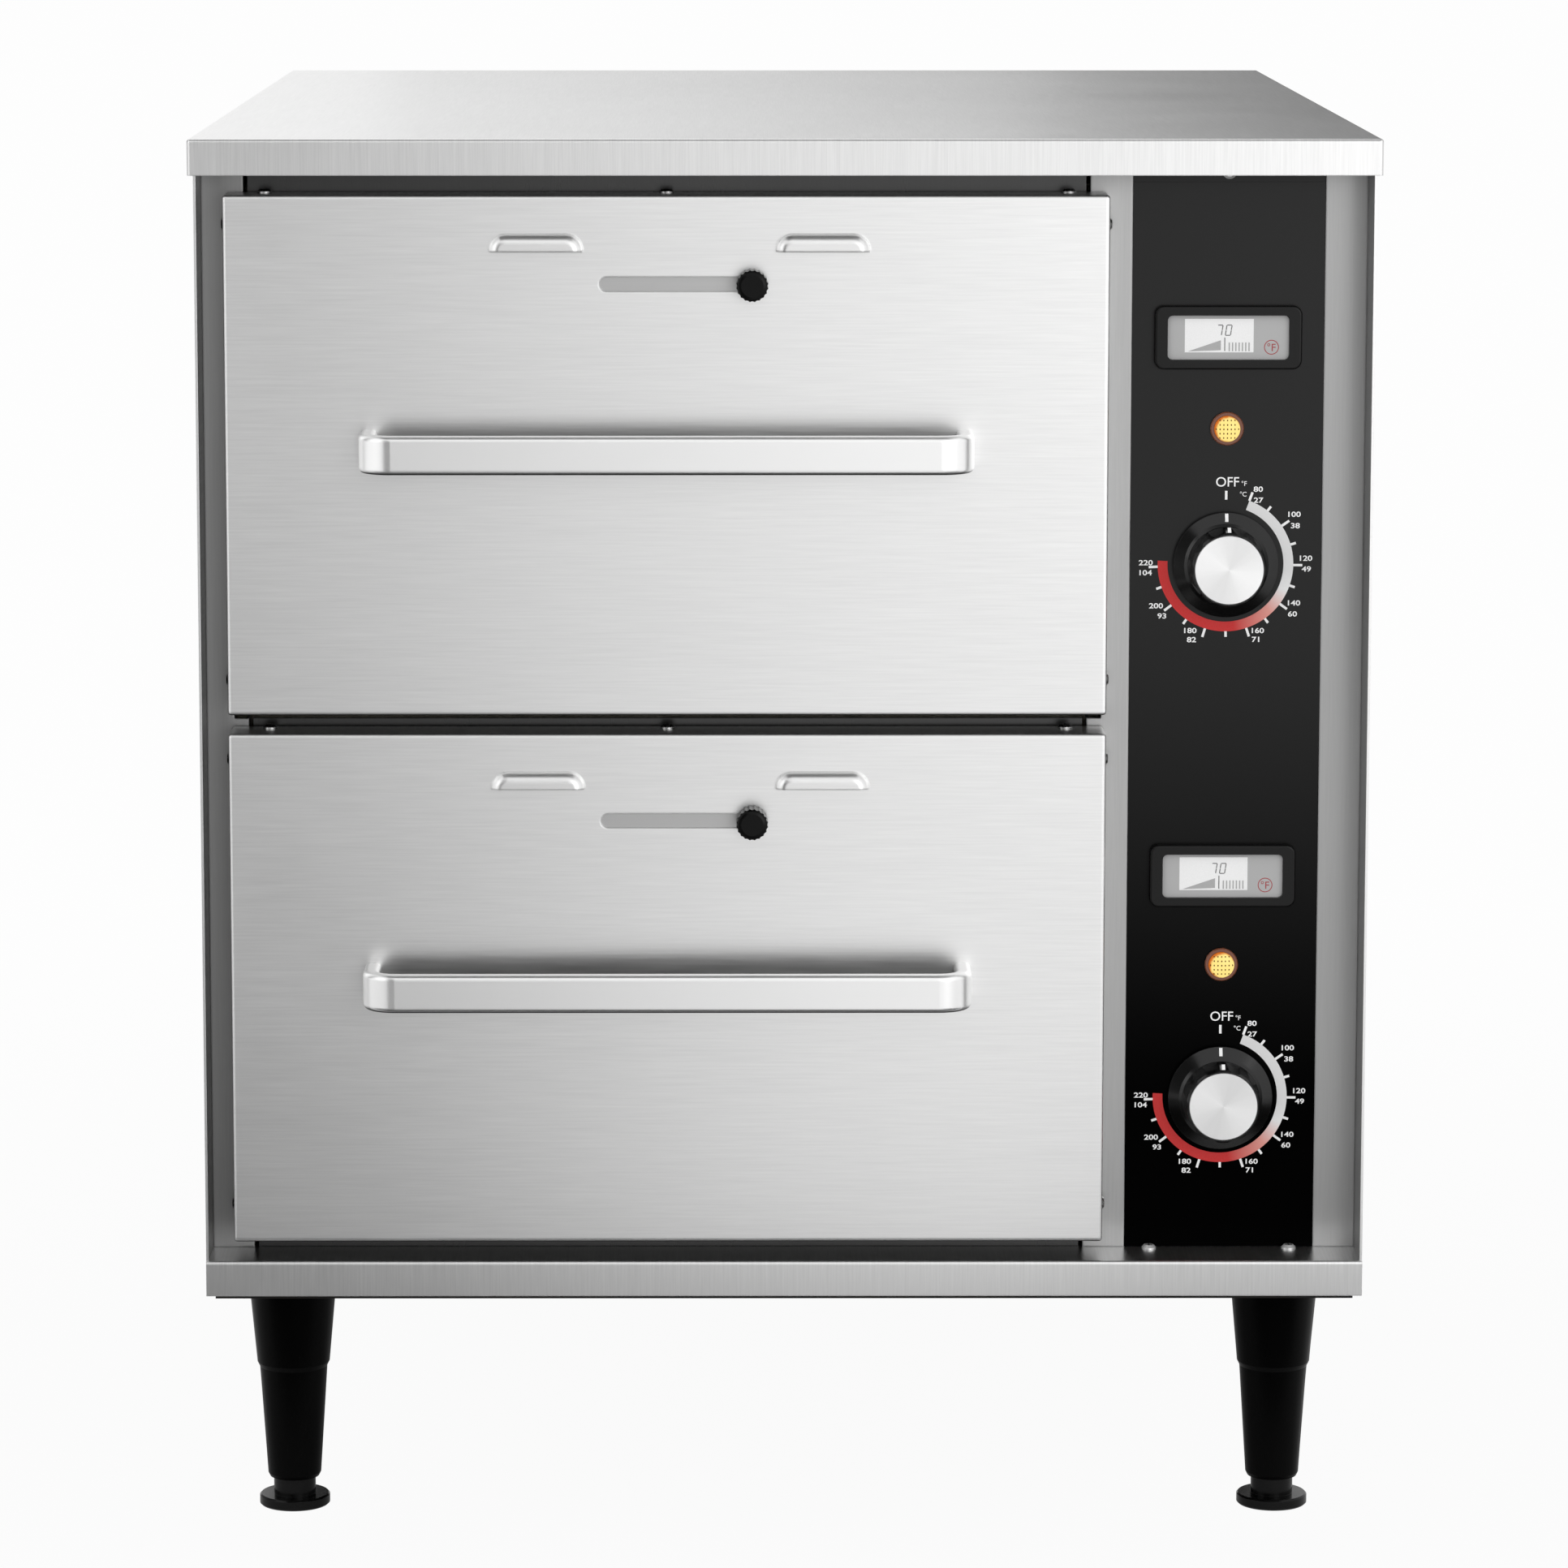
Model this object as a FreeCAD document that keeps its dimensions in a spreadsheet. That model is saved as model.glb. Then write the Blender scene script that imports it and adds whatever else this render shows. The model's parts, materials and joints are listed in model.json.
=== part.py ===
"""A free-standing food warmer with two heated drawers and a column of controls at the right.

X runs to the right, Y runs from the front to the back, Z runs up. The origin is on the floor,
under the middle of the whole object. All lengths are in millimetres.
"""

import FreeCAD, Part
import math
import os
import Sketcher

# Driving sizes: the name of each one and its number.
DRIVING_SIZES = (
    # Sheet metal of the cabinet
    ("sheet", 1.2),
    ("bend_radius", 1.6),
    ("cover_overhang", 2.8),
    ("cover_skirt", 17.5),
    ("cover_return", 12.0),
    ("cover_return_inset", 6.0),
    ("base_skirt", 17.5),
    ("base_return", 18.0),
    ("bottom_inset", 4.5),
    ("panel_flange", 15.0),
    ("rear_space", 85.8),
    # Face frame
    ("frame_recess", 30.0),
    ("stile_width", 20.5),
    ("stile_side_return", 20.0),
    ("stile_edge_return", 12.0),
    ("flange_setback", 1.5),
    ("flange_clearance", 1.0),
    ("liner_gap", 2.0),
    ("liner_sheet", 0.8),
    ("flange_slit", 2.0),
    ("slit_reach", 7.0),
    ("divider_inset", 0.8),
    ("insulation_start", 24.0),
    ("insulation_thickness", 10.0),
    # Legs and levelling feet
    ("leg_height", 114.8),
    ("leg_inset", 39.5),
    ("leg_setback", 42.0),
    ("leg_top_radius", 21.8),
    ("leg_step_height", 72.0),
    ("leg_step_radius", 18.0),
    ("leg_step", 1.2),
    ("leg_foot_radius", 13.2),
    ("leg_clearance", 14.5),
    ("leg_bevel", 1.8),
    ("leg_stud_radius", 5.0),
    ("leg_stud_length", 13.0),
    ("leg_nut_height", 8.0),
    ("leg_nut_flats", 17.0),
    ("foot_radius", 17.5),
    ("foot_thickness", 5.4),
    ("foot_bevel", 0.8),
    ("foot_stem_radius", 10.4),
    ("foot_stem_length", 50.0),
    ("foot_bore_depth", 70.0),
    # Food pans and their carriers
    ("pan_width", 325.0),
    ("pan_length", 530.0),
    ("pan_depth", 150.0),
    ("pan_sheet", 0.9),
    ("pan_rim", 11.0),
    ("pan_corner_radius", 26.0),
    ("pan_floor_radius", 14.0),
    ("carrier_side_margin", 23.2),
    ("carrier_end_margin", 15.0),
    ("carrier_sheet", 1.2),
    ("carrier_height", 62.0),
    ("carrier_pan_gap", 3.0),
    ("pan_floor_space", 38.0),
    ("pan_head_space", 48.0),
    ("cavity_clearance", 40.0),
    # Drawer fronts
    ("drawer_overlap", 8.0),
    ("drawer_setback", 2.0),
    ("drawer_thickness", 26.0),
    ("drawer_gap", 9.2),
    ("drawer_floor_gap", 9.3),
    ("drawer_head_gap", 9.6),
    ("skin_sheet", 1.0),
    ("skin_fit", 0.2),
    ("skin_flange", 12.0),
    ("core_inset", 16.0),
    ("core_setback", 8.0),
    ("core_top_drop", 66.0),
    # Handles
    ("handle_length", 295.0),
    ("handle_height", 18.6),
    ("handle_thickness", 8.0),
    ("handle_projection", 34.0),
    ("handle_bend", 16.0),
    ("handle_edge", 2.6),
    ("handle_level", 130.0),
    # Louvers, vent slots and shutters
    ("vent_offset", 6.2),
    ("louver_spacing", 138.0),
    ("louver_width", 45.0),
    ("louver_height", 8.2),
    ("louver_bulge", 4.6),
    ("louver_drop", 22.6),
    ("slot_drop", 42.6),
    ("slot_height", 7.0),
    ("vent_travel", 70.0),
    ("shutter_sheet", 1.0),
    ("shutter_margin", 5.0),
    ("strap_width", 5.0),
    ("vent_hole_height", 10.0),
    ("vent_knob_radius", 7.7),
    ("vent_knob_height", 12.0),
    ("vent_knob_gap", 0.8),
    ("vent_stud_radius", 2.0),
    ("vent_flute_radius", 1.5),
    # Runners and rollers
    ("runner_sheet", 1.5),
    ("runner_width", 14.0),
    ("runner_level", 140.0),
    ("runner_start", 4.0),
    ("runner_web_gap", 1.0),
    ("roller_radius", 12.0),
    ("roller_width", 10.0),
    ("roller_setback", 20.0),
    ("pin_radius", 3.0),
    ("pin_head_radius", 5.0),
    ("pin_head", 1.0),
    ("running_gap", 0.3),
    ("bore_fit", 0.05),
    # Control panel
    ("panel_width", 93.5),
    ("panel_setback", 1.3),
    ("panel_sheet", 1.5),
    ("overlay_sheet", 0.5),
    ("overlay_top_drop", 5.0),
    ("control_extra_pitch", 3.8),
    ("thermometer_level", 177.6),
    ("lamp_level", 133.0),
    ("dial_level", 66.5),
    ("bezel_width", 71.5),
    ("bezel_height", 31.0),
    ("bezel_depth", 4.5),
    ("bezel_radius", 4.5),
    ("window_width", 59.0),
    ("window_height", 21.6),
    ("window_radius", 2.5),
    ("window_depth", 2.2),
    ("display_sheet", 1.0),
    ("case_inset", 4.0),
    ("case_depth", 18.0),
    ("lamp_rim_radius", 8.2),
    ("lamp_rim", 2.0),
    ("lamp_body_radius", 6.8),
    ("lamp_body_length", 24.0),
    ("lens_radius", 6.3),
    ("lens_height", 4.4),
    ("skirt_radius", 25.7),
    ("skirt_gap", 1.0),
    ("skirt_height", 2.6),
    ("grip_foot_radius", 20.6),
    ("grip_foot_height", 6.0),
    ("grip_radius", 19.0),
    ("grip_top_radius", 18.2),
    ("grip_height", 23.5),
    ("grip_bevel", 0.9),
    ("grip_flute_radius", 6.0),
    ("grip_flute_depth", 1.0),
    ("cap_radius", 16.8),
    ("cap_thickness", 1.0),
    ("cap_bevel", 0.3),
    ("shaft_radius", 3.0),
    ("shaft_depth", 10.0),
    ("shaft_reach", 17.0),
    ("shaft_hole_radius", 6.0),
    # Thermostats, sensing bulbs, heating elements and wiring
    ("thermostat_width", 40.0),
    ("thermostat_height", 34.0),
    ("thermostat_depth", 38.0),
    ("capillary_radius", 1.0),
    ("capillary_bend", 12.0),
    ("capillary_run", 40.0),
    ("capillary_hole_radius", 3.0),
    ("bulb_radius", 3.0),
    ("bulb_length", 90.0),
    ("bulb_inset", 10.0),
    ("element_radius", 4.0),
    ("element_lift", 10.0),
    ("element_pitch", 56.0),
    ("element_end_space", 50.0),
    ("element_tail", 25.0),
    ("element_hole_radius", 8.0),
    ("post_width", 12.0),
    ("post_depth", 4.0),
    ("block_length", 64.0),
    ("block_height", 26.0),
    ("block_depth", 30.0),
    ("block_level", 130.0),
    ("gland_level", 60.0),
    ("gland_radius", 8.0),
    ("gland_flange_radius", 12.0),
    ("gland_nut_radius", 10.5),
    ("gland_projection", 16.0),
    ("gland_flange", 5.0),
    ("gland_bore", 5.0),
    ("locknut_height", 5.0),
    ("rear_slot_width", 56.0),
    ("rear_slot_height", 4.0),
    ("rear_slot_pitch", 12.0),
    # Screws
    ("screw_head_radius", 3.6),
    ("screw_head", 2.0),
    ("screw_dome", 1.2),
    ("screw_radius", 1.9),
    ("screw_length", 6.0),
    ("screw_fit", 0.1),
    ("handle_screw_length", 12.0),
    ("screw_end_margin", 19.0),
    ("side_screw_margin", 15.0),
)
GRIP_FLUTES = 10
VENT_FLUTES = 20
REAR_SLOTS = 8
ELEMENT_RUNS = 6
NUT_SIDES = 6
# Shares of a length, for places and forms that keep their proportion
REAR_SCREW_SHARES = (0.08, 0.36, 0.64, 0.92)
POST_SHARES = (0.3, 0.7)
PANEL_SCREW_SHARE = 0.37
HOOD_CORNER_SHARE = 0.95
HOOD_WALL_SHARE = 0.8
SLOT_END_SHARE = 0.499
LENS_PROFILE_SHARES = ((1.0, 0.66), (0.9, 0.84), (0.7, 0.94), (0.35, 1.0))
VENT_STUD_SHARE = 0.6
VENT_BORE_SHARE = 0.65
VENT_KNOB_FOOT_SHARE = 0.9
VENT_KNOB_SHOULDER_SHARE = 0.86
VENT_KNOB_FACE_SHARE = 0.7
VENT_FLUTE_SHARE = 0.72
# Lengths closer than this count as equal
TINY = 1e-4

doc = FreeCAD.newDocument("drawer_warmer")
sheet_of_sizes = doc.addObject("Spreadsheet::Sheet", "Sizes")
for row, (alias, number) in enumerate(DRIVING_SIZES, start=1):
    sheet_of_sizes.set(f"A{row}", alias)
    sheet_of_sizes.set(f"B{row}", str(number))
    sheet_of_sizes.setAlias(f"B{row}", alias)
doc.recompute()


class Size:
    """A length that knows its number and the expression that gives it from the sheet."""

    def __init__(self, value, text):
        self.value = value
        self.text = text

    def __add__(self, other):
        other = as_size(other)
        return Size(self.value + other.value, f"({self.text} + {other.text})")

    def __radd__(self, other):
        return as_size(other) + self

    def __sub__(self, other):
        other = as_size(other)
        return Size(self.value - other.value, f"({self.text} - {other.text})")

    def __rsub__(self, other):
        return as_size(other) - self

    def __mul__(self, other):
        other = as_size(other)
        return Size(self.value * other.value, f"({self.text} * {other.text})")

    def __rmul__(self, other):
        return as_size(other) * self

    def __truediv__(self, other):
        other = as_size(other)
        return Size(self.value / other.value, f"({self.text} / {other.text})")

    def __neg__(self):
        return as_size(0) - self


def as_size(number):
    """A plain number as a Size; a Size as it is."""
    if isinstance(number, Size):
        return number
    return Size(float(number), repr(float(number)))


class Driving:
    """The driving sizes of the sheet, each by its name."""

    def __getattr__(self, alias):
        return Size(float(sheet_of_sizes.get(alias)), f"Sizes.{alias}")


d = Driving()
LABELLED = []


def piece(node, shape):
    """Names a finished piece after its file and keeps it for writing out."""
    shape.Label = node
    LABELLED.append(shape)
    return shape


def bind(item, path, size):
    """Ties one property of an object to the sheet."""
    item.setExpression(path, as_size(size).text)


def place(item, x, y, z):
    """Ties the place of an object to the sheet."""
    bind(item, "Placement.Base.x", x)
    bind(item, "Placement.Base.y", y)
    bind(item, "Placement.Base.z", z)


def box(name, x, y, z):
    """A block between the pair of faces given for each direction."""
    block = doc.addObject("Part::Box", name)
    bind(block, "Length", x[1] - x[0])
    bind(block, "Width", y[1] - y[0])
    bind(block, "Height", z[1] - z[0])
    place(block, x[0], y[0], z[0])
    return block


TURNS = {
    "x": FreeCAD.Rotation(FreeCAD.Vector(0, 1, 0), 90),
    "y": FreeCAD.Rotation(FreeCAD.Vector(1, 0, 0), -90),
    "z": FreeCAD.Rotation(),
    "-x": FreeCAD.Rotation(FreeCAD.Vector(0, 1, 0), -90),
    "-y": FreeCAD.Rotation(FreeCAD.Vector(1, 0, 0), 90),
    "-z": FreeCAD.Rotation(FreeCAD.Vector(1, 0, 0), 180),
}


def rod(name, radius, length, base, axis):
    """A cylinder from its base point along an axis."""
    bar = doc.addObject("Part::Cylinder", name)
    bind(bar, "Radius", radius)
    bind(bar, "Height", length)
    bar.Placement = FreeCAD.Placement(FreeCAD.Vector(), TURNS[axis])
    place(bar, *base)
    return bar


def fuse(name, *shapes):
    """One solid from several that meet."""
    whole = doc.addObject("Part::MultiFuse", name)
    whole.Shapes = list(shapes)
    whole.Refine = True
    return whole


def group(name, *shapes):
    """Separate solids kept in one object."""
    whole = doc.addObject("Part::Compound", name)
    whole.Links = list(shapes)
    return whole


def cut(name, base, *tools):
    """The base without the tools."""
    rest = doc.addObject("Part::Cut", name)
    rest.Base = base
    rest.Tool = tools[0] if len(tools) == 1 else fuse(name + "_tools", *tools)
    rest.Refine = True
    return rest


def runs(edge, axis):
    """Whether an edge is straight and parallel to an axis."""
    if len(edge.Vertexes) != 2:
        return False
    step = edge.Vertexes[1].Point - edge.Vertexes[0].Point
    across = [abs(getattr(step, other)) for other in "xyz" if other != axis]
    return max(across) < TINY and abs(getattr(step, axis)) > TINY


def lies(edge, axis, level):
    """Whether an edge lies in the plane that crosses an axis at a level."""
    return all(abs(getattr(end.Point, axis) - as_size(level).value) < TINY for end in edge.Vertexes)


def rounded(name, base, radius, chosen):
    """Rounds the edges of a shape that the test picks out."""
    doc.recompute()
    soft = doc.addObject("Part::Fillet", name)
    soft.Base = base
    reach = as_size(radius).value
    edges = base.Shape.Edges
    soft.Edges = [(i + 1, reach, reach) for i, edge in enumerate(edges) if chosen(edge)]
    return soft


def turned(name, outline, axis="z"):
    """A body turned about its own axis from an outline of (radius, height) corners."""
    body = doc.addObject("PartDesign::Body", name)
    plane = next(item for item in body.Origin.OriginFeatures if item.Role == "XZ_Plane")
    sketch = body.newObject("Sketcher::SketchObject", name + "_outline")
    sketch.AttachmentSupport = [(plane, "")]
    sketch.MapMode = "FlatFace"
    corners = [(as_size(u), as_size(v)) for u, v in outline]
    points = [FreeCAD.Vector(u.value, v.value, 0) for u, v in corners]
    count = len(points)
    for i, start in enumerate(points):
        sketch.addGeometry(Part.LineSegment(start, points[(i + 1) % count]), False)
    for i in range(count):
        sketch.addConstraint(Sketcher.Constraint("Coincident", i, 2, (i + 1) % count, 1))
    for i, corner in enumerate(corners):
        for kind, size, axis_line in zip(("DistanceX", "DistanceY"), corner, (-2, -1)):
            if size.value == 0:
                sketch.addConstraint(Sketcher.Constraint("PointOnObject", i, 1, axis_line))
                continue
            tie = sketch.addConstraint(Sketcher.Constraint(kind, -1, 1, i, 1, size.value))
            sketch.setExpression(f"Constraints[{tie}]", size.text)
    spin = body.newObject("PartDesign::Revolution", name + "_turn")
    spin.Profile = sketch
    spin.ReferenceAxis = (sketch, ["V_Axis"])
    spin.Angle = 360
    body.Placement = FreeCAD.Placement(FreeCAD.Vector(), TURNS[axis])
    return body


def fluted(body, radius, ring, low, height, count):
    """Cuts a ring of upright flutes into a turned body."""
    sketch = next(item for item in body.Group if item.isDerivedFrom("Sketcher::SketchObject"))
    flute = body.newObject("PartDesign::SubtractiveCylinder", body.Name + "_flute")
    bind(flute, "Radius", radius)
    bind(flute, "Height", height)
    bind(flute, "Placement.Base.x", ring)
    bind(flute, "Placement.Base.z", low)
    doc.recompute()
    pattern = body.newObject("PartDesign::PolarPattern", body.Name + "_flutes")
    pattern.Originals = [flute]
    pattern.Axis = (sketch, ["V_Axis"])
    pattern.Angle = 360
    pattern.Occurrences = count
    body.Tip = pattern
    return body


# Widths, from the middle of a drawer outward
carrier_half = d.pan_width / 2 + d.carrier_side_margin
wall_half = carrier_half + d.runner_sheet + d.runner_web_gap + d.runner_width
liner_half = wall_half + d.liner_sheet
opening_half = liner_half + d.liner_gap
drawer_half = opening_half + d.drawer_overlap

# Widths of the cabinet
inner_half = (2 * opening_half + 3 * d.stile_width + d.panel_width) / 2
body_half = inner_half + d.sheet
cover_half = body_half + d.cover_overhang
opening_left = -inner_half + d.stile_width
opening_right = opening_left + 2 * opening_half
panel_left = opening_right + d.stile_width
panel_right = panel_left + d.panel_width
drawer_x = opening_left + opening_half
panel_x = panel_left + d.panel_width / 2
vent_x = drawer_x + d.vent_offset

# Heights of the cabinet
drawer_height = 2 * d.drawer_overlap + d.pan_floor_space + d.pan_depth + d.pan_head_space
drawer_pitch = drawer_height + d.drawer_gap
base_low = d.leg_height + d.sheet
floor_top = base_low + d.base_skirt
lowest_drawer = floor_top + d.drawer_floor_gap
cover_low = lowest_drawer + drawer_pitch + drawer_height + d.drawer_head_gap
cover_top = cover_low + d.cover_skirt
under_cover = cover_top - d.sheet

# Depths of the cabinet
carrier_length = d.pan_length + 2 * d.carrier_end_margin
cover_depth = (
    d.drawer_setback
    + d.drawer_thickness
    + carrier_length
    + d.cavity_clearance
    + d.liner_sheet
    + d.rear_space
    + 2 * d.sheet
)
front = -(d.drawer_setback - d.handle_projection + cover_depth - d.sheet + d.gland_projection) / 2
frame_face = front + d.frame_recess
flange_face = frame_face + d.flange_setback
drawer_face = front + d.drawer_setback
drawer_back = drawer_face + d.drawer_thickness
carrier_back = drawer_back + carrier_length
cavity_back = carrier_back + d.cavity_clearance
rear_outer = front + cover_depth - d.sheet
rear_inner = rear_outer - d.sheet
flange_start = frame_face + d.sheet + d.stile_side_return + d.flange_clearance
panel_face = frame_face + d.panel_setback
panel_back = panel_face + d.panel_sheet
overlay_face = panel_face - d.overlay_sheet
divider_right = panel_left - d.divider_inset
divider_left = divider_right - d.sheet

# Levels inside a drawer, from the bottom edge of its front
ledge_level = d.drawer_overlap + d.pan_floor_space + d.pan_depth
roller_level = d.runner_level + d.runner_sheet + d.running_gap + d.roller_radius
rail_level = roller_level + d.roller_radius + d.running_gap
runner_top_level = rail_level + d.runner_sheet + d.running_gap
front_roller_y = frame_face + d.roller_setback
rear_roller_y = carrier_back - d.roller_setback
screw_hole = d.screw_radius + d.screw_fit

DRAWERS = ("lower", "upper")
SIDES = ((-1, "left"), (1, "right"))


def drawer_low(index):
    """The bottom edge of a drawer front."""
    return lowest_drawer + index * drawer_pitch


def control_level(index, level):
    """The height of a control of one drawer."""
    return lowest_drawer + level + index * (drawer_pitch + d.control_extra_pitch)


def span(side, near, far, middle=0):
    """A pair of faces at one side of a middle plane, mirrored for the left side."""
    ends = (middle + side * near, middle + side * far)
    return ends if side > 0 else (ends[1], ends[0])


def screw(name, base, axis, length):
    """A dome-headed screw whose head points along an axis from its seat."""
    outline = [
        (0, -length),
        (d.screw_radius, -length),
        (d.screw_radius, 0),
        (d.screw_head_radius, 0),
        (d.screw_head_radius, d.screw_head - d.screw_dome),
        (d.screw_head_radius - d.screw_dome, d.screw_head),
        (0, d.screw_head),
    ]
    body = turned(name, outline, axis)
    place(body, *base)
    return body


def screw_bore(name, base, axis, depth):
    """The hole that takes a screw."""
    return rod(name, screw_hole, depth, base, axis)


def make_cover():
    """Top cover: a cap with skirts and a return under its front lip."""
    outer = box(
        "cover_outer",
        (-cover_half, cover_half),
        (front, front + cover_depth),
        (cover_low, cover_top),
    )
    soft = rounded(
        "cover_bends",
        outer,
        d.bend_radius,
        lambda edge: runs(edge, "z") or (lies(edge, "z", cover_top)),
    )
    inner = box(
        "cover_inner",
        (-cover_half + d.sheet, cover_half - d.sheet),
        (front + d.sheet, front + cover_depth - d.sheet),
        (cover_low, under_cover),
    )
    back_lip = box(
        "cover_return",
        (-cover_half + d.cover_return_inset, cover_half - d.cover_return_inset),
        (front + d.sheet, front + d.cover_return),
        (cover_low, cover_low + d.sheet),
    )
    piece("top_cover", fuse("top_cover", cut("cover_shell", soft, inner), back_lip))


def make_side_panels():
    """Side panels with flanges at the top, bottom and back."""
    for side, word in SIDES:
        skin = box(
            f"{word}_side_skin",
            span(side, inner_half, body_half),
            (front + d.sheet + d.running_gap, rear_inner),
            (floor_top, under_cover),
        )
        flange_x = span(side, inner_half - d.panel_flange, inner_half)
        low = box(
            f"{word}_side_low_flange",
            flange_x,
            (flange_start, rear_inner),
            (floor_top, floor_top + d.sheet),
        )
        high = box(
            f"{word}_side_high_flange",
            flange_x,
            (flange_start, rear_inner),
            (under_cover - d.sheet, under_cover),
        )
        back = box(
            f"{word}_side_back_flange",
            flange_x,
            (rear_inner - d.sheet, rear_inner),
            (floor_top, under_cover),
        )
        panel = fuse(f"{word}_side_whole", skin, low, high, back)
        bores = [
            screw_bore(f"{word}_side_bore_{i}", (x, rear_outer - d.screw_length, z), "y", d.screw_length)
            for i, (x, z) in enumerate(rear_screw_places())
            if x.value * side > 0
        ]
        piece(f"{word}_side_panel", cut(f"{word}_side_panel", panel, *bores))


def rear_screw_places():
    """Where the rear panel is screwed to the flanges of the side panels."""
    tall = under_cover - floor_top
    levels = [floor_top + tall * share for share in REAR_SCREW_SHARES]
    reach = inner_half - d.panel_flange / 2
    return [(side * reach, level) for side, _ in SIDES for level in levels]


def make_rear_panel():
    """Rear panel with its screw holes, cable gland hole and air slots."""
    plate = box("rear_plate", (-body_half, body_half), (rear_inner, rear_outer), (floor_top, under_cover))
    tools = [
        screw_bore(f"rear_bore_{i}", (x, rear_inner - d.sheet, z), "y", 3 * d.sheet)
        for i, (x, z) in enumerate(rear_screw_places())
    ]
    gland = (panel_x, rear_inner - d.sheet, floor_top + d.gland_level)
    tools.append(rod("rear_gland_hole", d.gland_radius + d.screw_fit, 3 * d.sheet, gland, "y"))
    for i in range(REAR_SLOTS):
        low = under_cover - d.rear_space - i * d.rear_slot_pitch
        tools.append(
            box(
                f"rear_slot_{i}",
                (panel_x - d.rear_slot_width / 2, panel_x + d.rear_slot_width / 2),
                (rear_inner - d.sheet, rear_outer + d.sheet),
                (low, low + d.rear_slot_height),
            )
        )
    piece("rear_panel", cut("rear_panel", plate, *tools))


def base_screw_places():
    """Where the base pan is screwed at its sides."""
    low = base_low + d.base_skirt / 2
    return [
        (side, side * body_half, y, low)
        for side, _ in SIDES
        for y in (front + d.leg_setback, rear_outer - d.leg_setback)
    ]


def make_base():
    """Base pan with returns under its skirts, and the plate that closes it."""
    outer = box("base_outer", (-body_half, body_half), (front, rear_outer), (base_low, floor_top))
    soft = rounded(
        "base_bends",
        outer,
        d.bend_radius,
        lambda edge: runs(edge, "x") and lies(edge, "z", floor_top) and lies(edge, "y", front),
    )
    inner = box(
        "base_inner",
        (-inner_half, inner_half),
        (front + d.sheet, rear_inner),
        (base_low + d.sheet, floor_top - d.sheet),
    )
    hollow = box(
        "base_hollow",
        (-body_half + d.base_return, body_half - d.base_return),
        (front + d.base_return, rear_outer - d.base_return),
        (base_low, base_low + 2 * d.sheet),
    )
    bores = [
        screw_bore(f"base_bore_{i}", (x, y, z), "-x" if side > 0 else "x", d.screw_length)
        for i, (side, x, y, z) in enumerate(base_screw_places())
    ]
    for i, (x, y, z) in enumerate(foot_screw_places()):
        bores.append(screw_bore(f"base_foot_bore_{i}", (x, y, z - d.screw_length), "z", d.screw_length))
    piece("base_pan", cut("base_pan", soft, inner, hollow, *bores))
    plate = box(
        "bottom_blank",
        (-body_half + d.bottom_inset, body_half - d.bottom_inset),
        (front + d.running_gap, rear_outer - d.bottom_inset),
        (d.leg_height, base_low),
    )
    bore = d.leg_stud_radius + d.running_gap
    holes = [
        rod(f"bottom_hole_{i}", bore, 3 * d.sheet, (x, y, d.leg_height - d.sheet), "z")
        for i, (_, x, y) in enumerate(leg_places())
    ]
    piece("bottom_plate", cut("bottom_plate", plate, *holes))


def leg_places():
    """The name and middle of each leg."""
    reach = body_half - d.leg_inset
    rows = (("front", front + d.leg_setback), ("rear", rear_outer - d.leg_setback))
    return [(f"{row}_{word}", side * reach, y) for row, y in rows for side, word in SIDES]


def make_legs():
    """Tapered legs with studs, and the levelling feet inside them."""
    bore = d.foot_stem_radius + d.running_gap
    bore_top = d.leg_clearance + d.foot_bore_depth
    leg_outline = [
        (bore, d.leg_clearance),
        (d.leg_foot_radius - d.leg_bevel / 2, d.leg_clearance),
        (d.leg_foot_radius, d.leg_clearance + d.leg_bevel),
        (d.leg_step_radius - d.leg_step, d.leg_step_height - d.leg_step),
        (d.leg_step_radius, d.leg_step_height + d.leg_step),
        (d.leg_top_radius, d.leg_height),
        (d.leg_stud_radius, d.leg_height),
        (d.leg_stud_radius, d.leg_height + d.leg_stud_length),
        (0, d.leg_height + d.leg_stud_length),
        (0, bore_top),
        (bore, bore_top),
    ]
    foot_outline = [
        (0, 0),
        (d.foot_radius - d.foot_bevel, 0),
        (d.foot_radius, d.foot_bevel),
        (d.foot_radius, d.foot_thickness - d.foot_bevel),
        (d.foot_radius - d.foot_bevel, d.foot_thickness),
        (d.foot_stem_radius, d.foot_thickness),
        (d.foot_stem_radius, d.foot_thickness + d.foot_stem_length),
        (0, d.foot_thickness + d.foot_stem_length),
    ]
    legs = []
    for name, x, y in leg_places():
        leg = turned(f"{name}_leg", leg_outline)
        place(leg, x, y, 0)
        legs.append(leg)
        foot = turned(f"{name}_foot", foot_outline)
        place(foot, x, y, 0)
        piece(f"{name}_foot", foot)
    piece("legs", group("legs", *legs))


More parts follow.
